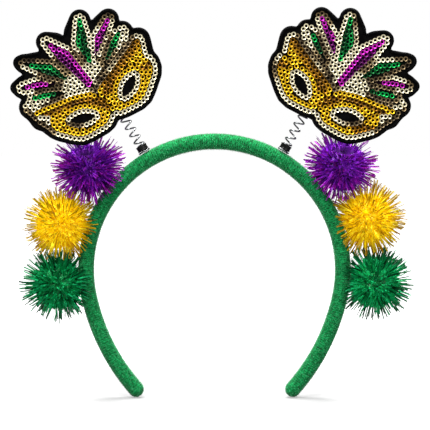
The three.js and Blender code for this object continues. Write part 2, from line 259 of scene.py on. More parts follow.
class GeometrySheet(NodeSheet):
    """A geometry tree, from points or a line to finished, plain geometry."""

    def __init__(self, name: str, sizes: dict[str, Socket]) -> None:
        """Start a tree with named inputs.

        Args:
            name: The tree's name.
            sizes: Inputs besides the geometry and the material.
        """
        super().__init__(bpy.data.node_groups.new(name, "GeometryNodeTree"))
        self.given = self.open(
            {"Geometry": Socket.GEOMETRY, **sizes, "Material": Socket.MATERIAL},
            {"Geometry": Socket.GEOMETRY},
        )

    def attribute(self, name: str, kind: str = "FLOAT") -> bpy.types.NodeSocket:
        """Value that the points carry under a name."""
        node = self.add("GeometryNodeInputNamedAttribute", {"Name": name}, data_type=kind)
        return node.outputs["Attribute"]

    def turn(self) -> bpy.types.NodeSocket:
        """Rotation that the points carry as angles under the name turn."""
        angles = self.attribute("turn", "FLOAT_VECTOR")
        return self.add("FunctionNodeEulerToRotation", {"Euler": angles}).outputs["Rotation"]

    def store(self, geometry: bpy.types.NodeSocket, name: str, value: Any) -> bpy.types.NodeSocket:
        """Keep a value on each point.

        Args:
            geometry: Geometry that gets the value.
            name: Name of the value.
            value: Field of values.

        Returns:
            The geometry with the value.
        """
        inputs = {"Geometry": geometry, "Name": name, "Value": value}
        node = self.add("GeometryNodeStoreNamedAttribute", inputs, data_type="FLOAT", domain="POINT")
        return node.outputs["Geometry"]

    def close(self, geometry: bpy.types.NodeSocket, smooth: bool) -> bpy.types.NodeTree:
        """End the tree in plain geometry with its material.

        Args:
            geometry: What the tree has made.
            smooth: Whether its faces are shaded smooth.

        Returns:
            The finished tree.
        """
        shaded = self.add("GeometryNodeSetShadeSmooth", {"Geometry": geometry, "Shade Smooth": smooth})
        plain = self.add("GeometryNodeRealizeInstances", {"Geometry": shaded.outputs[0]})
        inputs = {"Geometry": plain.outputs[0], "Material": self.given["Material"]}
        dressed = self.add("GeometryNodeSetMaterial", inputs)
        self.add("NodeGroupOutput", {"Geometry": dressed.outputs[0]})
        return self.tree


def sleeve_tree() -> bpy.types.NodeTree:
    """Make the tree that sweeps a padded, ribbed sleeve along a line and rounds its ends.

    Returns:
        A tree whose result carries the values along, in metres, and rib, from 0 in a furrow to about 1
        on a crest.
    """
    least_bulge = 0.03
    wander_phase = 9.0
    tuft_base = 0.3
    tuft_gain = 1.4
    sizes = {
        "Half Depth": Socket.VALUE,
        "Half Thickness": Socket.VALUE,
        "Rings": Socket.COUNT,
        "Sides": Socket.COUNT,
        "Rib Pitch": Socket.VALUE,
        "Rib Depth": Socket.VALUE,
    }
    sheet = GeometrySheet("ribbed_sleeve", sizes)
    given = sheet.given
    line = sheet.add("GeometryNodeMeshToCurve", {"Mesh": given["Geometry"]})
    stepped = sheet.add("GeometryNodeResampleCurve", {"Curve": line.outputs[0], "Count": given["Rings"]})
    along = sheet.add("GeometryNodeSplineParameter").outputs["Length"]
    marked = sheet.store(stepped.outputs[0], "along", along)
    # Near its ends the sleeve narrows as a ball does, which rounds the tips.
    whole = sheet.add("GeometryNodeSplineLength").outputs["Length"]
    to_end = sheet.math("MINIMUM", along, sheet.math("SUBTRACT", whole, along))
    inner = sheet.math("MINIMUM", sheet.math("DIVIDE", to_end, given["Half Thickness"]), 1.0)
    fall = sheet.math("POWER", sheet.math("SUBTRACT", 1.0, inner), 2.0)
    bulge = sheet.math("MAXIMUM", sheet.math("SQRT", sheet.math("SUBTRACT", 1.0, fall)), least_bulge)
    circle = sheet.add("GeometryNodeCurvePrimitiveCircle", {"Resolution": given["Sides"], "Radius": 1.0})
    oval = sheet.add(
        "ShaderNodeCombineXYZ",
        {"X": given["Half Depth"], "Y": given["Half Thickness"], "Z": 1.0},
    )
    section = sheet.add("GeometryNodeTransform", {"Geometry": circle.outputs[0], "Scale": oval.outputs[0]})
    swept = sheet.add(
        "GeometryNodeCurveToMesh",
        {"Curve": marked, "Profile Curve": section.outputs[0], "Scale": bulge, "Fill Caps": True},
    )
    place = sheet.add("GeometryNodeInputPosition").outputs[0]
    wander = sheet.math("MULTIPLY", sheet.speckle(place, scale=150.0, detail=2.0), wander_phase)
    turns = sheet.math("DIVIDE", sheet.attribute("along"), given["Rib Pitch"])
    phase = sheet.math("ADD", sheet.math("MULTIPLY", turns, math.tau), wander)
    rib = sheet.math("MULTIPLY_ADD", sheet.math("SINE", phase), 0.5, 0.5)
    uneven = sheet.speckle(place, scale=520.0, detail=1.0)
    tufted = sheet.math("MULTIPLY", rib, sheet.math("MULTIPLY_ADD", uneven, tuft_gain, tuft_base))
    ribbed = sheet.store(swept.outputs[0], "rib", tufted)
    height = sheet.math("MULTIPLY", sheet.math("SUBTRACT", tufted, 1.0), given["Rib Depth"])
    outwards = sheet.add("GeometryNodeInputNormal").outputs[0]
    push = sheet.add("ShaderNodeVectorMath", {0: outwards, "Scale": height}, operation="SCALE")
    pushed = sheet.add("GeometryNodeSetPosition", {"Geometry": ribbed, "Offset": push.outputs[0]})
    return sheet.close(pushed.outputs[0], smooth=True)


def pile_tree() -> bpy.types.NodeTree:
    """Make the tree that sows short tapered fibres on a surface.

    Returns:
        A tree whose result carries the value tip, from 0 at a fibre's foot to 1 at its end.
    """
    most_lean = 0.8
    sizes = {
        "Per Area": Socket.VALUE,
        "Fibre Length": Socket.VALUE,
        "Fibre Radius": Socket.VALUE,
        "Seed": Socket.COUNT,
    }
    sheet = GeometrySheet("velour_pile", sizes)
    given = sheet.given
    sown = sheet.add(
        "GeometryNodeDistributePointsOnFaces",
        {"Mesh": given["Geometry"], "Density": given["Per Area"], "Seed": given["Seed"]},
        distribute_method="RANDOM",
    )
    fibre = sheet.add(
        "GeometryNodeMeshCone",
        {
            "Vertices": 3,
            "Radius Top": 0.0,
            "Radius Bottom": given["Fibre Radius"],
            "Depth": given["Fibre Length"],
        },
        fill_type="NGON",
    )
    place = sheet.add("GeometryNodeInputPosition").outputs[0]
    up = sheet.add("ShaderNodeSeparateXYZ", {0: place}).outputs["Z"]
    tipped = sheet.store(fibre.outputs["Mesh"], "tip", sheet.math("DIVIDE", up, given["Fibre Length"]))
    lean = sheet.add(
        "FunctionNodeRandomValue",
        {0: (-most_lean, -most_lean, 0.0), 1: (most_lean, most_lean, math.tau), "Seed": given["Seed"]},
        data_type="FLOAT_VECTOR",
    )
    leaning = sheet.add("FunctionNodeEulerToRotation", {"Euler": lean.outputs[0]})
    turned = sheet.add(
        "FunctionNodeRotateRotation",
        {"Rotation": sown.outputs["Rotation"], "Rotate By": leaning.outputs[0]},
        rotation_space="LOCAL",
    )
    planted = sheet.add(
        "GeometryNodeInstanceOnPoints",
        {"Points": sown.outputs["Points"], "Instance": tipped, "Rotation": turned.outputs[0]},
    )
    return sheet.close(planted.outputs[0], smooth=False)


def coil_tree() -> bpy.types.NodeTree:
    """Make the tree that draws round wire along a line.

    Returns:
        The tree.
    """
    sheet = GeometrySheet("coil_wire", {"Wire Radius": Socket.VALUE, "Wire Sides": Socket.COUNT})
    given = sheet.given
    line = sheet.add("GeometryNodeMeshToCurve", {"Mesh": given["Geometry"]})
    section = sheet.add(
        "GeometryNodeCurvePrimitiveCircle",
        {"Resolution": given["Wire Sides"], "Radius": given["Wire Radius"]},
    )
    wire = sheet.add(
        "GeometryNodeCurveToMesh",
        {"Curve": line.outputs[0], "Profile Curve": section.outputs[0], "Fill Caps": True},
    )
    return sheet.close(wire.outputs[0], smooth=True)


def sequin_tree() -> bpy.types.NodeTree:
    """Make the tree that sews a cupped ring on each point, turned as the point says.

    Returns:
        A tree whose result carries the value edge, from 0 at a sequin's hole to 1 at its rim.
    """
    sizes = {
        "Rim Radius": Socket.VALUE,
        "Hole Radius": Socket.VALUE,
        "Cup": Socket.VALUE,
        "Film": Socket.VALUE,
        "Sides": Socket.COUNT,
    }
    sheet = GeometrySheet("sequin_field", sizes)
    given = sheet.given
    width = sheet.math("SUBTRACT", given["Rim Radius"], given["Hole Radius"])
    front = sheet.math("MULTIPLY", given["Cup"], -1.0)
    corners = [
        sheet.add("ShaderNodeCombineXYZ"),
        sheet.add("ShaderNodeCombineXYZ", {"X": width, "Y": front}),
        sheet.add("ShaderNodeCombineXYZ", {"X": width, "Y": sheet.math("ADD", front, given["Film"])}),
        sheet.add("ShaderNodeCombineXYZ", {"Y": given["Film"]}),
    ]
    section = sheet.add(
        "GeometryNodeCurvePrimitiveQuadrilateral",
        {f"Point {i + 1}": corner.outputs[0] for i, corner in enumerate(corners)},
        mode="POINTS",
    )
    # Corners 1 and 2 of the section lie on the rim, and corners 0 and 3 at the hole.
    corner_number = sheet.add("GeometryNodeInputIndex").outputs[0]
    from_rim = sheet.math("ABSOLUTE", sheet.math("SUBTRACT", corner_number, 1.5))
    marked = sheet.store(section.outputs[0], "edge", sheet.math("LESS_THAN", from_rim, 1.0))
    hole = sheet.add(
        "GeometryNodeCurvePrimitiveCircle",
        {"Resolution": given["Sides"], "Radius": given["Hole Radius"]},
    )
    ring = sheet.add("GeometryNodeCurveToMesh", {"Curve": hole.outputs[0], "Profile Curve": marked})
    sewn = sheet.add(
        "GeometryNodeInstanceOnPoints",
        {"Points": given["Geometry"], "Instance": ring.outputs[0], "Rotation": sheet.turn()},
    )
    return sheet.close(sewn.outputs[0], smooth=False)


def rim_tree() -> bpy.types.NodeTree:
    """Make the tree that wraps a loop of thread over an edge at each point.

    Returns:
        The tree.
    """
    sizes = {
        "Rim Width": Socket.VALUE,
        "Rim Height": Socket.VALUE,
        "Corner": Socket.VALUE,
        "Thread Radius": Socket.VALUE,
    }
    sheet = GeometrySheet("satin_rim", sizes)
    given = sheet.given
    box = sheet.add(
        "GeometryNodeCurvePrimitiveQuadrilateral",
        {"Width": given["Rim Width"], "Height": given["Rim Height"]},
        mode="RECTANGLE",
    )
    rounded = sheet.add(
        "GeometryNodeFilletCurve",
        {"Curve": box.outputs[0], "Count": 2, "Radius": given["Corner"]},
        mode="POLY",
    )
    section = sheet.add(
        "GeometryNodeCurvePrimitiveCircle",
        {"Resolution": 4, "Radius": given["Thread Radius"]},
    )
    loop = sheet.add(
        "GeometryNodeCurveToMesh",
        {"Curve": rounded.outputs[0], "Profile Curve": section.outputs[0]},
    )
    wrapped = sheet.add(
        "GeometryNodeInstanceOnPoints",
        {"Points": given["Geometry"], "Instance": loop.outputs[0], "Rotation": sheet.turn()},
    )
    return sheet.close(wrapped.outputs[0], smooth=True)


def tinsel_tree() -> bpy.types.NodeTree:
    """Make the tree that grows a flat strip of film from each point.

    Returns:
        A tree whose result carries the value out, the distance from a strip's root, in metres.
    """
    drift_middle = (0.5, 0.5, 0.5)
    bend_power = 1.5
    sizes = {
        "Strip Width": Socket.VALUE,
        "Film": Socket.VALUE,
        "Crinkle": Socket.VALUE,
        "Seed": Socket.COUNT,
    }
    sheet = GeometrySheet("tinsel_strips", sizes)
    given = sheet.given
    line = sheet.add("GeometryNodeCurvePrimitiveLine", {"End": (0.0, 0.0, 1.0)})
    stepped = sheet.add("GeometryNodeResampleCurve", {"Curve": line.outputs[0], "Count": 4})
    length = sheet.add("ShaderNodeCombineXYZ", {"X": 1.0, "Y": 1.0, "Z": sheet.attribute("reach")})
    rooted = sheet.add(
        "GeometryNodeInstanceOnPoints",
        {
            "Points": given["Geometry"],
            "Instance": stepped.outputs[0],
            "Rotation": sheet.turn(),
            "Scale": length.outputs[0],
        },
    )
    strands = sheet.add("GeometryNodeRealizeInstances", {"Geometry": rooted.outputs[0]})
    along = sheet.add("GeometryNodeSplineParameter").outputs["Factor"]
    out = sheet.math("MULTIPLY", along, sheet.attribute("reach"))
    marked = sheet.store(strands.outputs[0], "out", out)
    place = sheet.add("GeometryNodeInputPosition").outputs[0]
    drift = sheet.add("ShaderNodeTexNoise", {"Vector": place, "Scale": 260.0, "Detail": 1.0})
    centred = sheet.add(
        "ShaderNodeVectorMath",
        {0: drift.outputs["Color"], 1: drift_middle},
        operation="SUBTRACT",
    )
    amount = sheet.math("MULTIPLY", sheet.math("POWER", along, bend_power), given["Crinkle"])
    shift = sheet.add("ShaderNodeVectorMath", {0: centred.outputs[0], "Scale": amount}, operation="SCALE")
    bent = sheet.add("GeometryNodeSetPosition", {"Geometry": marked, "Offset": shift.outputs[0]})
    strand = sheet.add("GeometryNodeCurveOfPoint").outputs["Curve Index"]
    spin = sheet.add(
        "FunctionNodeRandomValue",
        {2: 0.0, 3: math.pi, "ID": strand, "Seed": given["Seed"]},
        data_type="FLOAT",
    )
    twisted = sheet.add("GeometryNodeSetCurveTilt", {"Curve": bent.outputs[0], "Tilt": spin.outputs[1]})
    section = sheet.add(
        "GeometryNodeCurvePrimitiveQuadrilateral",
        {"Width": given["Strip Width"], "Height": given["Film"]},
        mode="RECTANGLE",
    )
    film = sheet.add(
        "GeometryNodeCurveToMesh",
        {
            "Curve": twisted.outputs[0],
            "Profile Curve": section.outputs[0],
            "Scale": sheet.attribute("breadth"),
            "Fill Caps": True,
        },
    )
    return sheet.close(film.outputs[0], smooth=False)


@dataclass
class Seedbed:
    """Points, and any edges between them, from which a geometry tree grows a piece."""

    points: np.ndarray
    edges: list[tuple[int, int]] = field(default_factory=list)
    numbers: dict[str, np.ndarray] = field(default_factory=dict)
    vectors: dict[str, np.ndarray] = field(default_factory=dict)

    def grow(
        self,
        name: str,
        tree: bpy.types.NodeTree,
        material: bpy.types.Material,
        sizes: dict[str, float | int],
    ) -> bpy.types.Object:
        """Run a tree on the points.

        Args:
            name: Name of the piece.
            tree: Geometry tree to run.
            material: Finish of the piece.
            sizes: The tree's other inputs, by name.

        Returns:
            The piece, as a plain mesh at the origin.
        """
        mesh = bpy.data.meshes.new(name)
        mesh.from_pydata((self.points * MM).tolist(), self.edges, [])
        mark_points(mesh, self.numbers)
        for label, values in self.vectors.items():
            layer = mesh.attributes.new(label, "FLOAT_VECTOR", "POINT")
            layer.data.foreach_set("vector", values.astype(np.float32).ravel())
        return run_tree(placed(name, mesh), tree, material, sizes)


def mark_points(mesh: bpy.types.Mesh, numbers: dict[str, np.ndarray]) -> None:
    """Keep named values on a mesh's points.

    Args:
        mesh: Mesh that gets the values.
        numbers: A value for each point, by name.
    """
    for label, values in numbers.items():
        layer = mesh.attributes.new(label, "FLOAT", "POINT")
        layer.data.foreach_set("value", values.astype(np.float32))


def run_tree(
    piece: bpy.types.Object,
    tree: bpy.types.NodeTree,
    material: bpy.types.Material,
    sizes: dict[str, float | int],
) -> bpy.types.Object:
    """Run a geometry tree on an object and keep the result as its plain mesh.

    Args:
        piece: Object that the tree reads, and that then holds the result.
        tree: Geometry tree to run.
        material: Finish that the tree gives the result.
        sizes: The tree's other inputs, by name.

    Returns:
        The object, with no modifier left on it.
    """
    values = {**sizes, "Material": material}
    modifier = piece.modifiers.new("growth", "NODES")
    modifier.node_group = tree
    for item in tree.interface.items_tree:
        if item.in_out == "INPUT" and item.name in values:
            modifier[item.identifier] = values[item.name]
    depsgraph = bpy.context.evaluated_depsgraph_get()
    grown = bpy.data.meshes.new_from_object(piece.evaluated_get(depsgraph))
    piece.modifiers.remove(modifier)
    piece.data = grown
    grown.name = piece.name
    return piece


def placed(name: str, mesh: bpy.types.Mesh) -> bpy.types.Object:
    """Put a mesh in the scene as an object at the origin.

    Args:
        name: Name of the object.
        mesh: Its mesh.

    Returns:
        The object.
    """
    piece = bpy.data.objects.new(name, mesh)
    bpy.context.scene.collection.objects.link(piece)
    return piece


def solid(
    name: str,
    points: list[Vector],
    faces: list[list[int]],
    material: bpy.types.Material,
    smooth: bool = True,
) -> bpy.types.Object:
    """Make a closed piece from corners and faces.

    Args:
        name: Name of the piece.
        points: Corners, in millimetres.
        faces: Corners of each face.
        material: Finish of the piece.
        smooth: Whether its faces are shaded smooth.

    Returns:
        The piece, with its faces pointing outwards.
    """
    mesh = bpy.data.meshes.new(name)
    mesh.from_pydata([tuple(p * MM) for p in points], [], faces)
    shell = bmesh.new()
    shell.from_mesh(mesh)
    bmesh.ops.recalc_face_normals(shell, faces=shell.faces)
    for face in shell.faces:
        face.smooth = smooth
    shell.to_mesh(mesh)
    shell.free()
    mesh.materials.append(material)
    return placed(name, mesh)


def dress(piece: bpy.types.Object, body: str, nodes: list[str] | None = None) -> None:
    """Make a piece ride on a body, hide the CAD nodes that it stands for, and log it.

    Args:
        piece: Finished piece.
        body: CAD body that carries it.
        nodes: CAD nodes that it stands for.
    """
    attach(piece, body)
    if nodes:
        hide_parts(*nodes)
    report(piece)


def report(piece: bpy.types.Object) -> None:
    """Log a piece's name and how many faces it has."""
    LOG.info("%s: %d faces", piece.name, len(piece.data.polygons))


# Finishes


def new_material(name: str) -> tuple[bpy.types.Material, NodeSheet, bpy.types.Node]:
    """Start a material.

    Args:
        name: Name of the material.

    Returns:
        The material, its node sheet and its Principled shader.
    """
    material = bpy.data.materials.new(name)
    material.use_nodes = True
    material.node_tree.nodes.clear()
    sheet = NodeSheet(material.node_tree)
    shader = sheet.add("ShaderNodeBsdfPrincipled")
    sheet.add("ShaderNodeOutputMaterial", {"Surface": shader.outputs["BSDF"]})
    return material, sheet, shader


def object_place(sheet: NodeSheet) -> bpy.types.NodeSocket:
    """Place on the piece, in metres."""
    return sheet.add("ShaderNodeTexCoord").outputs["Object"]


def named_value(sheet: NodeSheet, name: str) -> bpy.types.NodeSocket:
    """Value that the piece's mesh carries under a name."""
    return sheet.add("ShaderNodeAttribute", attribute_name=name).outputs["Fac"]


def fibre_group() -> bpy.types.NodeTree:
    """Make the shared look of pile, felt and thread.

    Returns:
        A group that turns a place into a tone, from 0 to 1, and a height for bumps.
    """
    sheet = NodeSheet(bpy.data.node_groups.new("fibre_tone", "ShaderNodeTree"))
    given = sheet.open(
        {"Place": Socket.PLACE, "Clump Scale": Socket.VALUE, "Fibre Scale": Socket.VALUE},
        {"Tone": Socket.VALUE, "Height": Socket.VALUE},
    )
    clump = sheet.speckle(given["Place"], given["Clump Scale"], detail=2.0)
    fibre = sheet.speckle(given["Place"], given["Fibre Scale"], detail=3.0)
    mean = sheet.math("MULTIPLY", sheet.math("ADD", clump, fibre), 0.5)
    tone = sheet.spread(mean, low=0.36, high=0.64)
    sheet.add("NodeGroupOutput", {"Tone": tone, "Height": fibre})
    return sheet.tree


def foil_group() -> bpy.types.NodeTree:
    """Make the shared look of dyed metal film, for sequins and tinsel.

    Returns:
        A group that turns a piece's own tone into its colour, and a place into roughness and height.
    """
    mottle = 0.3
    body_at = 0.5
    rough_base = 0.14
    rough_gain = 0.3
    sheet = NodeSheet(bpy.data.node_groups.new("foil_tone", "ShaderNodeTree"))
    given = sheet.open(
        {
            "Shade": Socket.COLOUR,
            "Body": Socket.COLOUR,
            "Light": Socket.COLOUR,
            "Tone": Socket.VALUE,
            "Place": Socket.PLACE,
            "Crinkle Scale": Socket.VALUE,
        },
        {"Colour": Socket.COLOUR, "Roughness": Socket.VALUE, "Height": Socket.VALUE},
    )
    crinkle = sheet.speckle(given["Place"], given["Crinkle Scale"], detail=2.0)
    tone = sheet.math("ADD", given["Tone"], sheet.math("MULTIPLY_ADD", crinkle, mottle, -mottle / 2))
    dark = sheet.blend(sheet.spread(tone, 0.0, body_at), given["Shade"], given["Body"])
    colour = sheet.blend(sheet.spread(tone, body_at, 1.0), dark, given["Light"])
    rough = sheet.math("MULTIPLY_ADD", crinkle, rough_gain, rough_base)
    sheet.add("NodeGroupOutput", {"Colour": colour, "Roughness": rough, "Height": crinkle})
    return sheet.tree


@dataclass(frozen=True)
class Velour:
    """Green velour pile, with painted shade in its furrows, painted light on its crests and a painted sheen
    on its fibre tips.
    """

    furrow: Colour = paint(0, 52, 23)
    pile: Colour = paint(5, 110, 54)
    crest: Colour = paint(26, 148, 82)
    tip: Colour = paint(140, 228, 178)
    sheen: Colour = paint(175, 245, 205)
    furrow_at: float = 0.05
    pile_at: float = 0.5
    crest_at: float = 1.0
    rib_share: float = 0.32
    nap: float = 0.4
    clump_scale: float = 700.0
    fibre_scale: float = 1900.0

    def material(self, fibre: bpy.types.NodeTree) -> bpy.types.Material:
        """Make the finish.

        Args:
            fibre: Shared fibre group.

        Returns:
            The material.
        """
        material, sheet, shader = new_material("green_velour")
        look = sheet.add(
            "ShaderNodeGroup",
            {"Place": object_place(sheet), "Clump Scale": self.clump_scale, "Fibre Scale": self.fibre_scale},
            node_tree=fibre,
        ).outputs
        # Painted shade and light: the ribs carry the colour from the dark furrow colour to the pale crest
        # colour.
        rib = sheet.math("MULTIPLY", named_value(sheet, "rib"), self.rib_share)
        mixed = sheet.math("MULTIPLY_ADD", look["Tone"], 1.0 - self.rib_share, rib)
        low = sheet.blend(sheet.spread(mixed, self.furrow_at, self.pile_at), self.furrow, self.pile)
        body = sheet.blend(sheet.spread(mixed, self.pile_at, self.crest_at), low, self.crest)
        sheet.fill(
            shader,
            {
                # Painted sheen: fibres turn to the pale tip colour towards their ends.
                "Base Color": sheet.blend(named_value(sheet, "tip"), body, self.tip),
                "Normal": sheet.bump(look["Height"], strength=0.5, distance=self.nap),
                "Roughness": 0.95,
                "Specular IOR Level": 0.15,
                "Sheen Weight": 1.0,
                "Sheen Roughness": 0.3,
                "Sheen Tint": self.sheen,
            },
        )
        return material


@dataclass(frozen=True)
class Cloth:
    """Felt, thread, or a dark tinted sheet of painted shade between sequins; black unless it is given
    colours.
    """

    name: str
    shade: Colour = paint(1, 1, 1)
    light: Colour = paint(8, 8, 8)
    roughness: float = 0.95
    nap: float = 0.3
    clump_scale: float = 260.0
    fibre_scale: float = 2200.0

    def material(self, fibre: bpy.types.NodeTree) -> bpy.types.Material:
        """Make the finish.

        Args:
            fibre: Shared fibre group.

        Returns:
            The material.
        """
        material, sheet, shader = new_material(self.name)
        look = sheet.add(
            "ShaderNodeGroup",
            {"Place": object_place(sheet), "Clump Scale": self.clump_scale, "Fibre Scale": self.fibre_scale},
            node_tree=fibre,
        ).outputs
        sheet.fill(
            shader,
            {
                "Base Color": sheet.blend(look["Tone"], self.shade, self.light),
                "Normal": sheet.bump(look["Height"], strength=0.5, distance=self.nap),
                "Roughness": self.roughness,
                "Specular IOR Level": 0.04,
            },
        )
        return material


@dataclass(frozen=True)
class Foil:
    """Dyed metal film. Its colour runs from shade to light with the tone of each sequin or strip.

    Along a strip, painted shade at its root ends at root_to, and its tip's colour grows from tip_from to
    tip_to.
    """

    tint: Tint
    kind: str
    shade: Colour
    body: Colour
    light: Colour
    tip: Colour | None = None
    root_from: float = 0.4
    root_to: float = 3.4
    tip_from: float = 4.5
    tip_to: float = 10.5
    tip_share: float = 0.7
    rim_shade: float = 0.0
    rim_power: float = 2.0
    crease: float = 0.2
    metallic: float = 0.35
    shine: float = 0.15
    # Painted light: the film glows this much, though it is no lamp.
    glow: float = 0.0
    crinkle_scale: float = 900.0

    def material(self, foil: bpy.types.NodeTree) -> bpy.types.Material:
        """Make the finish.

        Args:
            foil: Shared foil group.

        Returns:
            The material. With a tip colour, strips turn to it towards their cut ends and darken towards
            their roots, painted shade. With a rim shade, sequins darken from their holes to their rims,
            painted shade too.
        """
        material, sheet, shader = new_material(f"{self.tint.value}_{self.kind}")
        look = sheet.add(
            "ShaderNodeGroup",
            {
                "Shade": self.shade,
                "Body": self.body,
                "Light": self.light,
                "Tone": named_value(sheet, "tone"),
                "Place": object_place(sheet),
                "Crinkle Scale": self.crinkle_scale,
            },
            node_tree=foil,
        ).outputs
        colour = look["Colour"]
        if self.tip is not None:
            out = named_value(sheet, "out")
            # Painted shade darkens each strip near its root, where the strips crowd.
            past_root = sheet.spread(out, self.root_from * MM, self.root_to * MM)
            colour = sheet.blend(past_root, self.shade, colour)
            towards_tip = sheet.spread(out, self.tip_from * MM, self.tip_to * MM)
            colour = sheet.blend(sheet.math("MULTIPLY", towards_tip, self.tip_share), colour, self.tip)
        if self.rim_shade > 0.0:
            # Painted shade towards each sequin's rim.
            to_rim = sheet.math("POWER", named_value(sheet, "edge"), self.rim_power)
            colour = sheet.blend(sheet.math("MULTIPLY", to_rim, self.rim_shade), colour, self.shade)
        sheet.fill(
            shader,
            {
                "Base Color": colour,
                "Roughness": look["Roughness"],
                "Normal": sheet.bump(look["Height"], strength=0.25, distance=self.crease),
                # Painted light: the film glows in its own colour.
                "Emission Color": colour,
                "Metallic": self.metallic,
                "Specular IOR Level": self.shine,
                "Emission Strength": self.glow,
            },
        )
        return material


@dataclass(frozen=True)
class SpringSteel:
    """Drawn wire with faint drawing marks."""

    bright: Colour = paint(150, 152, 154)
    dull: Colour = paint(62, 64, 66)
    rough_base: float = 0.1
    rough_gain: float = 0.25

    def material(self) -> bpy.types.Material:
        """Make the finish.

        Returns:
            The material.
        """
        material, sheet, shader = new_material("spring_steel")
        marks = sheet.speckle(object_place(sheet), scale=1300.0, detail=3.0)
        colour = sheet.blend(sheet.spread(marks, low=0.3, high=0.7), self.dull, self.bright)
        rough = sheet.math("MULTIPLY_ADD", marks, self.rough_gain, self.rough_base)
        sheet.fill(shader, {"Base Color": colour, "Roughness": rough, "Metallic": 1.0})
        return material


@dataclass(frozen=True)
class BlackSleeve:
    """Shrunk black plastic sleeve, slightly scuffed."""

    shade: Colour = paint(3, 3, 3)
    scuff: Colour = paint(18, 20, 20)
    rough_base: float = 0.3
    rough_gain: float = 0.3

    def material(self) -> bpy.types.Material:
        """Make the finish.

        Returns:
            The material.
        """
        material, sheet, shader = new_material("black_sleeve")
        scuffs = sheet.speckle(object_place(sheet), scale=700.0, detail=4.0)
        worn = sheet.spread(scuffs, low=0.5, high=0.75)
        colour = sheet.blend(worn, self.shade, self.scuff)
        rough = sheet.math("MULTIPLY_ADD", worn, self.rough_gain, self.rough_base)
        sheet.fill(shader, {"Base Color": colour, "Roughness": rough, "Specular IOR Level": 0.2})
        return material


@dataclass
class Wardrobe:
    """Every finish of the headband, and the trees that grow its pieces, each made once."""

    sequins: tuple[Foil, ...] = (
        Foil(
            Tint.PALE,
            "sequins",
            paint(46, 37, 25),
            paint(150, 128, 90),
            paint(255, 246, 208),
            rim_shade=0.5,
        ),
        Foil(
            Tint.GOLD,
            "sequins",
            paint(62, 39, 0),
            paint(164, 110, 5),
            paint(255, 204, 28),
            rim_shade=0.55,
        ),
        Foil(
            Tint.PURPLE,
            "sequins",
            paint(50, 3, 50),
            paint(116, 12, 110),
            paint(208, 42, 190),
            rim_shade=0.45,
        ),
        Foil(
            Tint.GREEN,
            "sequins",
            paint(0, 46, 18),
            paint(0, 96, 40),
            paint(2, 168, 74),
            rim_shade=0.45,
        ),
    )
    # Dark tinted sheets between the sequins: painted shade, standing in for the shaded sequins in the gaps.
    grounds: tuple[tuple[Tint, Colour, Colour], ...] = (
        (Tint.PALE, paint(4, 3, 2), paint(14, 11, 7)),
        (Tint.GOLD, paint(6, 3, 0), paint(22, 12, 1)),
        (Tint.PURPLE, paint(5, 0, 6), paint(18, 1, 21)),
        (Tint.GREEN, paint(0, 4, 2), paint(0, 14, 7)),
    )
    tinsel: tuple[Foil, ...] = (
        Foil(
            Tint.PURPLE,
            "tinsel",
            paint(30, 1, 52),
            paint(100, 14, 152),
            paint(168, 52, 228),
            tip=paint(140, 14, 142),
            metallic=0.3,
            shine=0.2,
            glow=0.06,
        ),
        Foil(
            Tint.GOLD,
            "tinsel",
            paint(194, 142, 2),
            paint(250, 218, 8),
            paint(255, 240, 50),
            tip=paint(92, 56, 4),
            metallic=0.05,
            shine=0.15,
            glow=0.2,
        ),
        Foil(
            Tint.GREEN,
            "tinsel",
            paint(0, 40, 18),
            paint(0, 152, 80),
            paint(44, 232, 146),
            tip=paint(0, 66, 34),
            metallic=0.25,
            shine=0.3,
            glow=0.06,
        ),
    )

    def __post_init__(self) -> None:
        """Make the materials and the geometry trees."""
        fibre = fibre_group()
        foil = foil_group()
        self.velour = Velour().material(fibre)
        self.felt = Cloth("black_felt").material(fibre)
        self.ground = {
            tint: Cloth(f"{tint.value}_ground", shade, light).material(fibre)
            for tint, shade, light in self.grounds
        }
        thread = Cloth(
            "black_thread",
            light=paint(9, 9, 10),
            roughness=0.6,
            clump_scale=400.0,
            fibre_scale=3000.0,
        )
        self.thread = thread.material(fibre)
        self.steel = SpringSteel().material()
        self.sleeve = BlackSleeve().material()
        self.sequin = {finish.tint: finish.material(foil) for finish in self.sequins}
        self.strip = {finish.tint: finish.material(foil) for finish in self.tinsel}
        self.sleeve_tree = sleeve_tree()
        self.pile_tree = pile_tree()
        self.coil_tree = coil_tree()
        self.sequin_tree = sequin_tree()
        self.rim_tree = rim_tree()
        self.tinsel_tree = tinsel_tree()


# Distances and directions


def in_batches(points: np.ndarray, most: int = 3000) -> list[np.ndarray]:
    """Split points into batches that are small enough to compare with a whole outline."""
    return np.array_split(points, len(points) // most + 1)


def nearest_gap(points: np.ndarray, line: np.ndarray) -> np.ndarray:
    """Measure how far each point is from the nearest point of a line."""
    return np.sqrt(((points[:, None, :] - line[None, :, :]) ** 2).sum(axis=2)).min(axis=1)


def unit(vectors: np.ndarray) -> np.ndarray:
    """Directions of some vectors, each of length 1."""
    return vectors / np.linalg.norm(vectors, axis=1, keepdims=True)


# Band


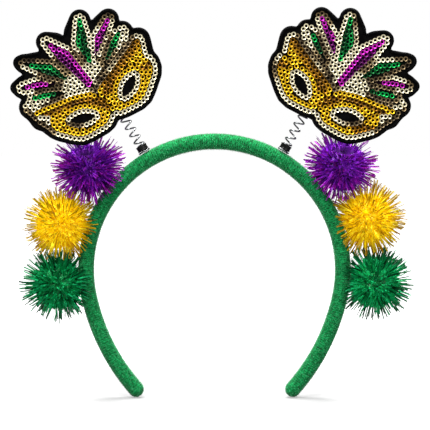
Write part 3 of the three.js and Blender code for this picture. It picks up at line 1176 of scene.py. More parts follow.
@dataclass
class VelourBand:
    """The padded band: an arch of velour sleeve that runs on into two flatter legs with round tips."""

    arch_end: float = 102.0
    leg_radius: float = 116.0
    rings: int = 1700
    sides: int = 36
    rib_pitch: float = 1.25
    rib_depth: float = 0.16
    pile_per_mm2: float = 2.4
    fibre_length: float = 0.75
    fibre_radius: float = 0.04
    pile_seed: int = 3

    def __post_init__(self) -> None:
        """Take the arch's sizes from the CAD band, whose underside at the crown is the origin."""
        low, high = (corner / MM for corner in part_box("band"))
        self.thickness = high.z
        self.depth = high.y - low.y
        self.arch_radius = high.x - self.thickness / 2
        self.centre_z = self.thickness / 2 - self.arch_radius
        end = math.radians(self.arch_end)
        tip_z = low.z + self.thickness / 2
        leg_centre_z = self.centre_z + (self.arch_radius - self.leg_radius) * math.cos(end)
        self.leg_length = self.leg_radius * (math.acos((tip_z - leg_centre_z) / self.leg_radius) - end)

    def on_arch(self, angle: float, distance: float, side: Side) -> Vector:
        """Find a place beside the arch.

        Args:
            angle: Degrees from the top of the arch.
            distance: Distance from the arch's centre.
            side: Half of the headband.

        Returns:
            The place, in millimetres.
        """
        turn = math.radians(angle)
        across = side.value * distance * math.sin(turn)
        return Vector((across, 0.0, self.centre_z + distance * math.cos(turn)))

    def centreline(self, step: float, past_tip: float) -> np.ndarray:
        """Walk along the middle of the band.

        Args:
            step: Distance between points.
            past_tip: How far the line runs past the middle of each round tip.

        Returns:
            Points from the left tip over the head to the right tip.
        """
        half_arch = math.radians(self.arch_end) * self.arch_radius
        reach = half_arch + self.leg_length + past_tip
        along = np.linspace(-reach, reach, 2 * round(reach / step) + 1)
        turn = np.minimum(np.abs(along), half_arch) / self.arch_radius
        swung = turn + np.maximum(np.abs(along) - half_arch, 0.0) / self.leg_radius
        # Past the end of the arch the line swings about the leg's own centre.
        offset = self.arch_radius - self.leg_radius
        across = np.sign(along) * (offset * np.sin(turn) + self.leg_radius * np.sin(swung))
        up = self.centre_z + offset * np.cos(turn) + self.leg_radius * np.cos(swung)
        return np.column_stack([across, np.zeros_like(across), up])

    def holds(self, points: np.ndarray, clearance: float) -> np.ndarray:
        """Tell which points lie in the band.

        Args:
            points: Points, in millimetres.
            clearance: How much larger than the band the space is.

        Returns:
            True for each point that lies in it.
        """
        line = self.centreline(step=1.5, past_tip=0.0)[:, (0, 2)]
        sideways = np.concatenate([nearest_gap(few, line) for few in in_batches(points[:, (0, 2)])])
        thick = sideways / (self.thickness / 2 + clearance)
        deep = points[:, 1] / (self.depth / 2 + clearance)
        return thick**2 + deep**2 < 1.0

    def build(self, wardrobe: Wardrobe) -> None:
        """Make the ribbed sleeve and its pile.

        Args:
            wardrobe: Finishes and trees.
        """
        line = self.centreline(step=1.0, past_tip=self.thickness / 2)
        edges = [(i, i + 1) for i in range(len(line) - 1)]
        sleeve = Seedbed(line, edges).grow(
            "velour_sleeve",
            wardrobe.sleeve_tree,
            wardrobe.velour,
            {
                "Half Depth": self.depth / 2 * MM,
                "Half Thickness": self.thickness / 2 * MM,
                "Rings": self.rings,
                "Sides": self.sides,
                "Rib Pitch": self.rib_pitch * MM,
                "Rib Depth": self.rib_depth * MM,
            },
        )
        pile = run_tree(
            placed("velour_pile", sleeve.data.copy()),
            wardrobe.pile_tree,
            wardrobe.velour,
            {
                "Per Area": self.pile_per_mm2 / MM**2,
                "Fibre Length": self.fibre_length * MM,
                "Fibre Radius": self.fibre_radius * MM,
                "Seed": self.pile_seed,
            },
        )
        dress(sleeve, "band", ["band"])
        dress(pile, "band")


# Springs


@dataclass(frozen=True)
class CoilStation:
    """Turns wound so far, and the height and radius of the wire's middle there."""

    turn: float
    height: float
    radius: float


@dataclass
class SprungPost:
    """A coil spring that stands on the band, with a black sleeve round its close turns."""

    side: Side
    seat_angle: float
    lean: float
    wind_from: float
    wire: float = 0.92
    wire_sides: int = 10
    steps_per_turn: int = 24
    bend_from: float = 6.0
    bend_to: float = 22.0
    collar_foot: float = 1.4
    collar_height: float = 3.1
    collar_bore: float = 2.65
    collar_waist: float = 3.05
    collar_lip: float = 3.35
    collar_easing: float = 0.25
    collar_wall_share: float = 0.44
    collar_roll_share: float = 0.07
    collar_steps: int = 9
    collar_sides: int = 40
    # A wide foot, close turns in the sleeve, open turns, and close turns behind the mask.
    stations: tuple[CoilStation, ...] = (
        CoilStation(0, 0.65, 3.1),
        CoilStation(0.85, 0.75, 3.1),
        CoilStation(1.2, 1.3, 2.05),
        CoilStation(2.9, 4.6, 2.05),
        CoilStation(3.3, 5.3, 2.5),
        CoilStation(6.95, 22.5, 2.5),
        CoilStation(9.45, 25.5, 2.5),
    )

    def matrix(self, band: VelourBand) -> Matrix:
        """Frame whose Z axis is the spring's, from its seat on the band."""
        seat = band.on_arch(self.seat_angle, band.arch_radius + band.thickness / 2, self.side)
        return Matrix.Translation(seat) @ Matrix.Rotation(self.side.value * math.radians(self.lean), 4, "Y")

    def coil(self, band: VelourBand) -> np.ndarray:
        """Walk along the middle of the wire.

        Args:
            band: Band that the spring stands on.

        Returns:
            Points from the foot to the end.
        """
        table = np.array([(s.turn, s.height, s.radius) for s in self.stations])
        turns = np.linspace(0.0, table[-1, 0], round(table[-1, 0] * self.steps_per_turn) + 1)
        height = np.interp(turns, table[:, 0], table[:, 1])
        radius = np.interp(turns, table[:, 0], table[:, 2])
        angle = turns * math.tau + math.radians(self.wind_from)
        local = np.column_stack([radius * np.cos(angle), radius * np.sin(angle), height])
        frame = self.matrix(band)
        return np.array([frame @ Vector(p) for p in local])

    def build(self, band: VelourBand, wardrobe: Wardrobe) -> None:
        """Make the spring and its sleeve.

        Args:
            band: Band that the spring stands on.
            wardrobe: Finishes and trees.
        """
        line = self.coil(band)
        edges = [(i, i + 1) for i in range(len(line) - 1)]
        spring = Seedbed(line, edges).grow(
            f"{self.side.label}_coil",
            wardrobe.coil_tree,
            wardrobe.steel,
            {"Wire Radius": self.wire / 2 * MM, "Wire Sides": self.wire_sides},
        )
        frame = self.matrix(band)
        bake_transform(spring)
        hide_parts(f"{self.side.label}_spring")
        report(spring)
        self.build_collar(frame, wardrobe)

    def build_collar(self, frame: Matrix, wardrobe: Wardrobe) -> None:
        """Turn the waisted sleeve with its rolled lips.

        Args:
            frame: The spring's frame.
            wardrobe: Finishes and trees.
        """
        outer = []
        for i in range(self.collar_steps):
            share = 2 * i / (self.collar_steps - 1) - 1
            swell = self.collar_waist + (self.collar_lip - self.collar_waist) * share**4
            outer.append((swell, self.collar_height * (0.5 + self.collar_wall_share * share)))
        roll = self.collar_roll_share * self.collar_height
        inner = [(self.collar_bore, self.collar_height - roll), (self.collar_bore, roll)]
        crest = self.collar_bore + self.collar_easing
        profile = [(crest, 0.0), *outer, (crest, self.collar_height), *inner]
        points = []
        faces = []
        count = len(profile)
        for i in range(self.collar_sides):
            turn = math.tau * i / self.collar_sides
            after = (i + 1) % self.collar_sides
            for j, (radius, height) in enumerate(profile):
                local = (radius * math.cos(turn), radius * math.sin(turn), self.collar_foot + height)
                points.append(frame @ Vector(local))
                onward = (j + 1) % count
                faces.append([i * count + j, after * count + j, after * count + onward, i * count + onward])
        label = self.side.label
        collar = solid(f"{label}_spring_sleeve", points, faces, wardrobe.sleeve)
        dress(collar, "band", [f"{label}_collar"])


# Masks


def even_loop(loop: np.ndarray, spacing: float, blur: float) -> np.ndarray:
    """Space a closed outline's points evenly and round its corners.

    Args:
        loop: Corners of the outline.
        spacing: Distance between the new points.
        blur: Length over which corners are rounded.

    Returns:
        The new points.
    """
    fewest = 8
    closed = np.vstack([loop, loop[:1]])
    lengths = np.linalg.norm(np.diff(closed, axis=0), axis=1)
    along = np.concatenate([[0.0], np.cumsum(lengths)])
    count = max(fewest, round(along[-1] / spacing))
    marks = np.arange(count) * along[-1] / count
    points = np.column_stack([np.interp(marks, along, closed[:, axis]) for axis in (0, 1)])
    # The blur grows with the square root of the number of passes.
    for _ in range(round(2 * (blur / spacing) ** 2)):
        points = 0.5 * points + 0.25 * (np.roll(points, 1, axis=0) + np.roll(points, -1, axis=0))
    return points


def left_normals(loop: np.ndarray) -> np.ndarray:
    """Find the unit normals of a closed outline.

    Args:
        loop: Points of the outline.

    Returns:
        A normal for each point, towards the left of the outline's direction.
    """
    ways = np.roll(loop, -1, axis=0) - np.roll(loop, 1, axis=0)
    lengths = np.maximum(np.linalg.norm(ways, axis=1, keepdims=True), 1e-9)
    return np.column_stack([-ways[:, 1], ways[:, 0]]) / lengths


def cap_loops(node: bpy.types.Object, facing: int) -> list[np.ndarray]:
    """Find the outlines of a CAD node's flat front or back.

    Args:
        node: CAD node.
        facing: -1 for the front, 1 for the back.

    Returns:
        Closed outlines, across and up in millimetres, each with the solid on its left.
    """
    least_facing = 0.9
    mesh = node.data
    corners = np.array([v.co for v in mesh.vertices]) / MM
    places, number = np.unique(np.round(corners, 3), axis=0, return_inverse=True)
    number = number.ravel()
    open_edges: set[tuple[int, int]] = set()
    # An edge that two faces share runs both ways and cancels out, which leaves the outlines.
    for face in mesh.polygons:
        if face.normal.y * facing < least_facing:
            continue
        ring = [int(number[i]) for i in face.vertices]
        for a, b in zip(ring, ring[1:] + ring[:1]):
            if (b, a) in open_edges:
                open_edges.remove((b, a))
            else:
                open_edges.add((a, b))
    onward = dict(sorted(open_edges))
    loops = []
    while onward:
        first, at = onward.popitem()
        chain = [first]
        while at != first:
            chain.append(at)
            at = onward.pop(at)
        loops.append(places[chain][:, (0, 2)][:: -facing])
    return loops


@dataclass
class SequinPatch:
    """A field of one colour, inside closed outlines that keep it on their left.

    The gaps and depths that end in share are parts of the sequins' pitch, the rows' step or the inset.
    """

    loops: list[np.ndarray]
    grid_step: float = 0.4
    line_step: float = 0.2
    line_blur: float = 0.5
    level_slack: float = 0.08
    pitch_share: float = 0.8
    step_share: float = 0.93
    filler_share: float = 0.84
    filler_inset_share: float = 0.4

    def depth(self, points: np.ndarray) -> np.ndarray:
        """Measure how far inside the field points lie.

        Args:
            points: Points, across and up.

        Returns:
            Distance to the nearest outline, negative outside the field.
        """
        return np.concatenate([self.depth_of_few(few) for few in in_batches(points)])

    def depth_of_few(self, points: np.ndarray) -> np.ndarray:
        """Measure the depth of one batch of points.

        Args:
            points: Points, across and up.

        Returns:
            Distance to the nearest outline, negative outside the field.
        """
        starts = np.vstack(self.loops)
        ends = np.vstack([np.roll(loop, -1, axis=0) for loop in self.loops])
        ways = ends - starts
        rel = points[:, None, :] - starts[None, :, :]
        share = (rel * ways).sum(axis=2) / np.maximum((ways**2).sum(axis=1), 1e-12)
        nearest = rel - np.clip(share, 0.0, 1.0)[:, :, None] * ways
        gap = np.sqrt((nearest**2).sum(axis=2)).min(axis=1)
        # A point is inside when a line to its right crosses the outlines an odd number of times.
        above = (starts[None, :, 1] > points[:, 1:2]) != (ends[None, :, 1] > points[:, 1:2])
        rise = np.where(np.abs(ways[:, 1]) < 1e-12, 1e-12, ways[:, 1])
        cross_at = starts[:, 0] + (points[:, 1:2] - starts[:, 1]) * ways[:, 0] / rise
        inside = (above & (points[:, 0:1] < cross_at)).sum(axis=1) % 2 == 1
        return np.where(inside, gap, -gap)

    def rows(self, row: float, pitch: float, inset: float | None) -> tuple[np.ndarray, np.ndarray]:
        """Lay rows of sequins along the outlines, then fill what is left.

        Args:
            row: Wanted distance between rows.
            pitch: Distance between sequins in a row.
            inset: Distance from the outlines to the first row. If there is none, the rows are spread
                evenly over the field's widest part.

        Returns:
            Places of the sequins, and the direction of the row at each.
        """
        spots, deep = self.grid()
        if inset is None:
            inset = deep.max() / max(1, round(2 * deep.max() / row))
        step = 2 * inset
        kept: list[np.ndarray] = []
        ways: list[np.ndarray] = []
        level = inset
        apart = min(self.pitch_share * pitch, self.step_share * step)
        while self.lay_level(level, pitch, apart, kept, ways):
            level += step
        order = np.argsort(-deep, kind="stable")
        for spot in spots[order][deep[order] > self.filler_inset_share * inset]:
            if is_clear(spot, kept, self.filler_share * pitch):
                kept.append(spot)
                ways.append(np.array([1.0, 0.0]))
        return np.array(kept), np.array(ways)

    def grid(self) -> tuple[np.ndarray, np.ndarray]:
        """Cover the field with a fine grid.

        Returns:
            Places, across and up, and the depth of each in the field.
        """
        low = np.min([loop.min(axis=0) for loop in self.loops], axis=0)
        high = np.max([loop.max(axis=0) for loop in self.loops], axis=0)
        marks = [np.arange(low[axis], high[axis], self.grid_step) for axis in (0, 1)]
        spots = np.stack(np.meshgrid(*marks), axis=-1).reshape(-1, 2)
        return spots, self.depth(spots)

    def lay_level(
        self,
        level: float,
        pitch: float,
        apart: float,
        kept: list[np.ndarray],
        ways: list[np.ndarray],
    ) -> bool:
        """Lay the row at one distance from the outlines.

        Args:
            level: Distance from the outlines.
            pitch: Distance between sequins.
            apart: Least distance from sequins of other rows.
            kept: Places so far, to which the row's are added.
            ways: Row directions so far.

        Returns:
            Whether the field reaches that deep.
        """
        reached = False
        for loop in self.loops:
            line = even_loop(loop, self.line_step, self.line_blur)
            moved = line + left_normals(line) * level
            good = self.depth(moved) > level - self.level_slack
            reached |= bool(good.any())
            for run in runs(good):
                path = moved[run]
                closed = len(run) == len(line)
                for place, way in along_path(path, pitch, closed):
                    if is_clear(place, kept, apart):
                        kept.append(place)
                        ways.append(way)
        return reached


def is_clear(place: np.ndarray, others: list[np.ndarray], apart: float) -> bool:
    """Tell whether a place keeps a distance from all others."""
    return not others or bool((np.hypot(*(np.array(others) - place).T) > apart).all())


def runs(good: np.ndarray) -> list[np.ndarray]:
    """Split a closed row of marks into its unbroken stretches.

    Args:
        good: True where a point is kept.

    Returns:
        Numbers of the points in each stretch, in order.
    """
    count = len(good)
    if good.all():
        return [np.arange(count)]
    first_bad = int(np.argmin(good))
    order = (np.arange(count) + first_bad) % count
    stretches: list[list[int]] = [[]]
    for i in order:
        if good[i]:
            stretches[-1].append(int(i))
        elif stretches[-1]:
            stretches.append([])
    return [np.array(s) for s in stretches if s]


def along_path(path: np.ndarray, pitch: float, closed: bool) -> list[tuple[np.ndarray, np.ndarray]]:
    """Space marks evenly along a path.

    Args:
        path: Points of the path.
        pitch: Wanted distance between marks.
        closed: Whether the path's end meets its start.

    Returns:
        Place and direction of each mark.
    """
    look_ahead = 0.3
    line = np.vstack([path, path[:1]]) if closed else path
    if len(line) < 2:
        return [(line[0], np.array([1.0, 0.0]))]
    along = np.concatenate([[0.0], np.cumsum(np.linalg.norm(np.diff(line, axis=0), axis=1))])
    length = along[-1]
    if closed:
        count = max(3, round(length / pitch))
        marks = np.arange(count) * length / count
    else:
        count = max(1, round(length / pitch) + 1)
        marks = np.linspace(0.0, length, count) if count > 1 else np.array([length / 2])
    result = []
    for mark in marks:
        place, ahead = (
            np.array([np.interp(m, along, line[:, axis]) for axis in (0, 1)])
            for m in (mark, min(mark + look_ahead, length))
        )
        way = ahead - place
        size = np.hypot(*way)
        result.append((place, way / size if size > 1e-6 else np.array([1.0, 0.0])))
    return result


@dataclass(frozen=True)
class DullStretch:
    """A stretch of sequins along a line on one mask or both, painted darker: painted shade, as if they
    leaned away from the light.
    """

    tint: Tint
    path: tuple[tuple[float, float], ...]
    reach: float = 1.5
    side: Side | None = None


@dataclass
class SequinMask:
    """A black felt mask with a satin-stitched rim, covered in rows of sequins."""

    side: Side
    notch_across: float
    notch_up: float
    tilt: float = 43.5
    rim_radius: float = 1.38
    hole_radius: float = 0.84
    cup: float = 0.28
    film: float = 0.09
    sequin_sides: int = 12
    pitch: float = 2.45
    row: float = 2.25
    trim_inset: float = 1.15
    lean: float = 0.1
    scatter: float = 0.06
    bright_tone: float = 0.92
    tone_scatter: float = 0.06
    dull_by: float = 0.72
    dull_fade: float = 1.6
    dull_steps: int = 12
    least_tone: float = 0.04
    felt_front: float = -5.15
    ground_back: float = -5.1
    ground_front: float = -5.35
    sequin_front: float = -5.65
    rim_width: float = 2.3
    rim_front: float = -6.05
    rim_corner_share: float = 1 / 2.6
    thread: float = 0.46
    thread_pitch: float = 0.42
    thread_slant: float = 0.1
    slant_scatter: float = 0.03
    stitch_seed: int = 11
    tab_foot: float = 23.4
    tab_length: float = 7.0
    tab_thickness: float = 1.0
    tab_half_width: float = 7.5
    tab_bore: float = 3.15
    tab_arc_steps: int = 17
    tab_edge_steps: int = 16
    feathers: tuple[tuple[str, Tint], ...] = (
        ("outer_low", Tint.GREEN),
        ("outer_mid", Tint.PURPLE),
        ("outer_high", Tint.GREEN),
        ("middle", Tint.PURPLE),
        ("inner_high", Tint.GREEN),
        ("inner_mid", Tint.PURPLE),
        ("inner_low", Tint.GREEN),
    )
    # Painted shade: stretches of sequins whose tone is lowered.
    dull: tuple[DullStretch, ...] = (
        DullStretch(Tint.GOLD, ((-29.0, 29.5), (-23.4, 28.3), (-17.5, 26.3), (-12.5, 23.7), (-8.3, 20.9))),
        DullStretch(Tint.GOLD, ((-4.2, 17.7), (-2.0, 14.5), (-0.4, 10.9)), 1.8),
        DullStretch(Tint.GOLD, ((34.5, 25.4), (27.2, 24.2), (19.6, 22.7), (11.0, 20.4), (6.0, 16.4)), 2.6),
        DullStretch(Tint.GOLD, ((33.0, 10.5), (29.6, 11.2))),
        DullStretch(Tint.GOLD, ((-29.5, 18.5), (-26.0, 17.3), (-23.0, 13.0)), 1.6, Side.RIGHT),
        DullStretch(Tint.PALE, ((35.0, 26.7), (30.0, 26.2), (22.0, 26.6), (14.3, 26.4), (8.0, 23.3)), 1.7),
        DullStretch(Tint.PALE, ((27.4, 36.6), (22.8, 34.4), (18.4, 32.5), (14.3, 29.9)), 1.6),
        DullStretch(Tint.PALE, ((35.7, 44.9), (30.6, 46.6), (28.0, 47.1))),
        DullStretch(Tint.PALE, ((34.3, 6.9), (31.1, 3.6)), 1.5, Side.RIGHT),
        DullStretch(Tint.PALE, ((7.0, 23.8), (3.7, 20.5), (0.3, 20.8)), 1.8),
        DullStretch(Tint.PALE, ((19.1, 56.8), (13.3, 54.4), (9.3, 49.8)), 1.5, Side.RIGHT),
        DullStretch(Tint.PALE, ((6.6, 44.6), (7.0, 41.0), (6.6, 36.2)), 1.7, Side.LEFT),
        DullStretch(Tint.PALE, ((-3.5, 46.1), (-4.0, 43.0), (-3.5, 38.9))),
        DullStretch(Tint.PALE, ((-18.6, 60.3), (-13.2, 57.5)), 1.7),
        DullStretch(Tint.PALE, ((-13.0, 57.7), (-8.5, 53.7), (-5.0, 48.6)), 1.7, Side.LEFT),
        DullStretch(Tint.PALE, ((-19.7, 57.0), (-17.9, 51.7)), 1.5, Side.RIGHT),
        DullStretch(Tint.PALE, ((-16.2, 48.5), (-12.5, 41.8), (-9.7, 36.7)), 1.7),
        DullStretch(Tint.PALE, ((-26.2, 51.8), (-28.8, 51.2)), 1.5, Side.RIGHT),
        DullStretch(Tint.PALE, ((-22.5, 42.3), (-17.5, 38.9), (-12.9, 35.6)), 1.7),
        DullStretch(
            Tint.PALE,
            ((-27.4, 42.7), (-27.0, 36.3), (-21.5, 33.4), (-15.5, 31.2)),
            1.5,
            Side.RIGHT,
        ),
        DullStretch(Tint.PALE, ((-26.0, 34.5), (-20.7, 32.7), (-15.4, 31.5)), 1.3, Side.LEFT),
        DullStretch(Tint.PALE, ((-36.0, 37.3), (-35.0, 31.8), (-33.7, 26.1), (-33.4, 20.6)), 1.8),
        DullStretch(Tint.PALE, ((-22.2, 16.6), (-19.6, 12.5))),
        DullStretch(Tint.PURPLE, ((-2.4, 49.9), (0.4, 42.8), (-1.6, 32.9), (-1.9, 28.0)), 2.0),
        DullStretch(Tint.PURPLE, ((-14.9, 39.9), (-12.3, 37.2)), 2.0),
        DullStretch(Tint.PURPLE, ((25.0, 39.0), (20.0, 36.6), (15.4, 33.6)), 2.0),
        DullStretch(Tint.GREEN, ((-13.0, 48.1), (-9.8, 41.4), (-6.6, 34.7)), 2.2),
        DullStretch(Tint.GREEN, ((-16.4, 34.4), (-12.8, 32.0)), 2.0),
        DullStretch(Tint.GREEN, ((18.4, 48.6), (15.1, 44.3), (11.8, 40.1)), 2.2),
        DullStretch(Tint.GREEN, ((24.7, 32.1), (19.9, 30.7), (14.1, 28.4)), 1.5),
    )

    @property
    def body(self) -> str:
        """CAD body of the mask."""
        return f"{self.side.label}_mask"

    def outline(self, frame: Frame) -> np.ndarray:
        """Find the smooth outline of the felt.

        Args:
            frame: The loaded frame.

        Returns:
            Its points, across and up.
        """
        loops = cap_loops(frame["nodes"][f"{self.side.label}_backing"], facing=1)
        longest = max(loops, key=len)
        return even_loop(longest, spacing=0.3, blur=1.0)

    def own_place(self, points: np.ndarray) -> np.ndarray:
        """Measure places on the mask itself.

        Args:
            points: Places, across and up in the headband's frame.

        Returns:
            Places from the notch under the nose: towards the headband's middle, and up the middle feather.
        """
        turn = math.radians(self.tilt)
        inwards = -self.side.value * (points[:, 0] - self.side.value * self.notch_across)
        up = points[:, 1] - self.notch_up
        return np.column_stack(
            [inwards * math.cos(turn) + up * math.sin(turn), -inwards * math.sin(turn) + up * math.cos(turn)]
        )

    def tones(self, points: np.ndarray, tint: Tint, draw: np.random.Generator) -> np.ndarray:
        """Give each sequin its tone.

        Args:
            points: Places of the sequins, across and up.
            tint: Their colour.
            draw: Source of random numbers.

        Returns:
            Tones from 0, dark, to 1, bright; the painted shade stretches lower them.
        """
        places = self.own_place(points)
        tone = self.bright_tone + draw.normal(0.0, self.tone_scatter, len(points))
        # Each stretch paints shade by lowering the tone near its line.
        for stretch in self.dull:
            if stretch.tint is not tint or stretch.side not in (None, self.side):
                continue
            line = np.array(stretch.path)
            fine = np.vstack([np.linspace(a, b, self.dull_steps) for a, b in zip(line[:-1], line[1:])])
            gap = nearest_gap(places, fine)
            painted_shade = np.clip(self.dull_fade - gap / stretch.reach, 0.0, 1.0)
            tone -= self.dull_by * painted_shade
        return np.clip(tone, self.least_tone, 1.0)

    def sew(self, frame: Frame, tint: Tint, names: list[str], wardrobe: Wardrobe) -> None:
        """Cover the fields of one colour with sequins.

        Args:
            frame: The loaded frame.
            tint: Colour of the fields.
            names: CAD nodes of the fields.
            wardrobe: Finishes and trees.
        """
        seed = 7 * len(names) + (self.side is Side.LEFT)
        draw = np.random.default_rng(seed)
        places = []
        ways = []
        for name in names:
            patch = SequinPatch(cap_loops(frame["nodes"][name], facing=-1))
            inset = self.trim_inset if name.endswith("trim") else None
            spots, directions = patch.rows(self.row, self.pitch, inset)
            places.append(spots)
            ways.append(directions)
        flat = np.vstack(places)
        way = np.vstack(ways)
        count = len(flat)
        normal = np.column_stack([way[:, 0] * self.lean, -np.ones(count), way[:, 1] * self.lean])
        normal += draw.normal(0.0, self.scatter, (count, 3))
        bed = Seedbed(
            np.column_stack([flat[:, 0], np.full(count, self.sequin_front), flat[:, 1]]),
            numbers={"tone": self.tones(flat, tint, draw)},
            vectors={"turn": pointing(normal)},
        )
        piece = bed.grow(
            f"{self.side.label}_{tint.value}_sequins",
            wardrobe.sequin_tree,
            wardrobe.sequin[tint],
            {
                "Rim Radius": self.rim_radius * MM,
                "Hole Radius": self.hole_radius * MM,
                "Cup": self.cup * MM,
                "Film": self.film * MM,
                "Sides": self.sequin_sides,
            },
        )
        dress(piece, self.body, names)
        self.lay_ground(frame, tint, names, wardrobe)

    def lay_ground(self, frame: Frame, tint: Tint, names: list[str], wardrobe: Wardrobe) -> None:
        """Lay the thin dark tinted sheet that shows between the sequins: painted shade, standing in for the
        shaded sequins in the gaps.

        Args:
            frame: The loaded frame.
            tint: Colour of the fields.
            names: CAD nodes of the fields.
            wardrobe: Finishes and trees.
        """
        cloth = bmesh.new()
        for name in names:
            cloth.from_mesh(frame["nodes"][name].data)
        bmesh.ops.remove_doubles(cloth, verts=cloth.verts, dist=0.001 * MM)
        low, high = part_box(names[0])
        for vertex in cloth.verts:
            in_front = vertex.co.y < (low.y + high.y) / 2
            vertex.co.y = (self.ground_front if in_front else self.ground_back) * MM
        mesh = bpy.data.meshes.new(f"{self.side.label}_{tint.value}_ground")
        cloth.to_mesh(mesh)
        cloth.free()
        mesh.materials.clear()
        mesh.materials.append(wardrobe.ground[tint])
        dress(placed(mesh.name, mesh), self.body)

    def build_felt(self, frame: Frame, wardrobe: Wardrobe) -> None:
        """Cut the felt and stitch its rim.

        Args:
            frame: The loaded frame.
            wardrobe: Finishes and trees.
        """
        outline = self.outline(frame)
        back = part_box(f"{self.side.label}_backing")[1].y / MM
        inwards = left_normals(outline)
        edge = outline + inwards * self.thread
        count = len(edge)
        points = [Vector((p[0], y, p[1])) for y in (self.felt_front, back - self.thread / 2) for p in edge]
        sides = [[i, (i + 1) % count, count + (i + 1) % count, count + i] for i in range(count)]
        faces = [list(range(count)), list(range(2 * count - 1, count - 1, -1)), *sides]
        label = self.side.label
        felt = solid(f"{label}_felt", points, faces, wardrobe.felt, smooth=False)
        dress(felt, self.body, [f"{label}_backing"])
        self.build_rim(outline, back, wardrobe)

    def build_rim(self, outline: np.ndarray, back: float, wardrobe: Wardrobe) -> None:
        """Stitch the rim.

        Args:
            outline: Edge of the felt.
            back: Place of the felt's back.
            wardrobe: Finishes and trees.
        """
        draw = np.random.default_rng(self.stitch_seed)
        line = even_loop(outline, self.thread_pitch, blur=0.0)
        inwards = left_normals(line)
        middle = line + inwards * (self.rim_width / 2)
        count = len(line)
        slant = self.thread_slant + draw.normal(0.0, self.slant_scatter, count)
        facing = np.arctan2(inwards[:, 1], -inwards[:, 0])
        depth = np.full(count, (back + self.rim_front) / 2)
        bed = Seedbed(
            np.column_stack([middle[:, 0], depth, middle[:, 1]]),
            vectors={"turn": np.column_stack([slant, facing, np.zeros(count)])},
        )
        rim = bed.grow(
            f"{self.side.label}_satin_rim",
            wardrobe.rim_tree,
            wardrobe.thread,
            {
                "Rim Width": (self.rim_width - self.thread) * MM,
                "Rim Height": (back - self.rim_front - self.thread) * MM,
                "Corner": self.rim_corner_share * self.rim_width * MM,
                "Thread Radius": self.thread / 2 * MM,
            },
        )
        dress(rim, self.body)

    def build_tab(self, post: SprungPost, band: VelourBand, wardrobe: Wardrobe) -> None:
        """Bend the felt strip that holds the spring's end to the back of the mask.

        Args:
            post: Spring that it holds.
            band: Band that the spring stands on.
            wardrobe: Finishes and trees.
        """
        label = self.side.label
        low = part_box(f"{label}_spring_tab")[0].y / MM
        middle = self.tab_bore + self.tab_thickness / 2
        flange = low + self.tab_thickness / 2
        bend = np.linspace(math.pi, 0.0, self.tab_arc_steps)
        arc = [(middle * math.cos(a), middle * math.sin(a)) for a in bend]
        before = [(-self.tab_half_width, flange), (-middle, flange)]
        after = [(middle, flange), (self.tab_half_width, flange)]
        path = eased(np.array([*before, *arc, *after]), step=0.4, blur=0.5)
        half = self.tab_thickness / 2
        turns = np.linspace(0.0, math.tau, self.tab_edge_steps, endpoint=False)
        rounding = [(math.cos(a), math.sin(a)) for a in turns]
        section = [
            (half * s, math.copysign(self.tab_length / 2 - half, c) + half * c) for c, s in rounding
        ]
        frame = post.matrix(band)
        ways = unit(np.gradient(path, axis=0))
        middle_height = self.tab_foot + self.tab_length / 2
        points = [
            frame @ Vector((place[0] - way[1] * out, place[1] + way[0] * out, middle_height + up))
            for place, way in zip(path, ways)
            for out, up in section
        ]
        size = len(section)
        faces = [
            [i * size + j, i * size + (j + 1) % size, (i + 1) * size + (j + 1) % size, (i + 1) * size + j]
            for i in range(len(path) - 1)
            for j in range(size)
        ]
        last = (len(path) - 1) * size
        faces += [list(range(size)), list(range(last + size - 1, last - 1, -1))]
        tab = solid(f"{label}_felt_tab", points, faces, wardrobe.felt)
        dress(tab, self.body, [f"{label}_spring_tab"])

    def build(self, frame: Frame, post: SprungPost, band: VelourBand, wardrobe: Wardrobe) -> None:
        """Make the felt, its rim, the tab and the sequins.

        Args:
            frame: The loaded frame.
            post: Spring that carries the mask.
            band: Band that the spring stands on.
            wardrobe: Finishes and trees.
        """
        label = self.side.label
        self.build_felt(frame, wardrobe)
        self.build_tab(post, band, wardrobe)
        rings = [f"{label}_eye_ring_outer", f"{label}_eye_ring_inner"]
        self.sew(frame, Tint.PALE, [f"{label}_trim", *rings], wardrobe)
        self.sew(frame, Tint.GOLD, [f"{label}_face"], wardrobe)
        for tint in (Tint.PURPLE, Tint.GREEN):
            names = [f"{label}_feather_{name}" for name, colour in self.feathers if colour is tint]
            self.sew(frame, tint, names, wardrobe)


def eased(corners: np.ndarray, step: float, blur: float) -> np.ndarray:
    """Space an open path's points evenly and round its corners.

    Args:
        corners: Corners of the path.
        step: Distance between the new points.
        blur: Length over which corners are rounded.

    Returns:
        The new points, with the ends kept.
    """
    along = np.concatenate([[0.0], np.cumsum(np.linalg.norm(np.diff(corners, axis=0), axis=1))])
    marks = np.linspace(0.0, along[-1], round(along[-1] / step) + 1)
    path = np.column_stack([np.interp(marks, along, corners[:, axis]) for axis in (0, 1)])
    for _ in range(round(2 * (blur / step) ** 2)):
        path[1:-1] = 0.5 * path[1:-1] + 0.25 * (path[:-2] + path[2:])
    return path


def pointing(directions: np.ndarray) -> np.ndarray:
    """Find the angles that turn Z to each direction.

    Args:
        directions: Directions of any length.

    Returns:
        Angles about X, Y and Z.
    """
    ways = unit(directions)
    tip = np.arccos(np.clip(ways[:, 2], -1.0, 1.0))
    turn = np.arctan2(ways[:, 1], ways[:, 0])
    return np.column_stack([np.zeros(len(ways)), tip, turn])


# Pompoms


@dataclass
class Surroundings:
    """What a pompom's film keeps clear of: the band, the pompoms beside it, and any mask in front of it."""

    band: VelourBand
    others: list[np.ndarray]
    mask: SequinPatch | None


@dataclass(frozen=True)
class Folds:
    """Folds of one size in a pompom's heart: how high, how close together and how much paler their tops are
    painted, a painted light.
    """

    height: float
    closeness: float
    paler: float


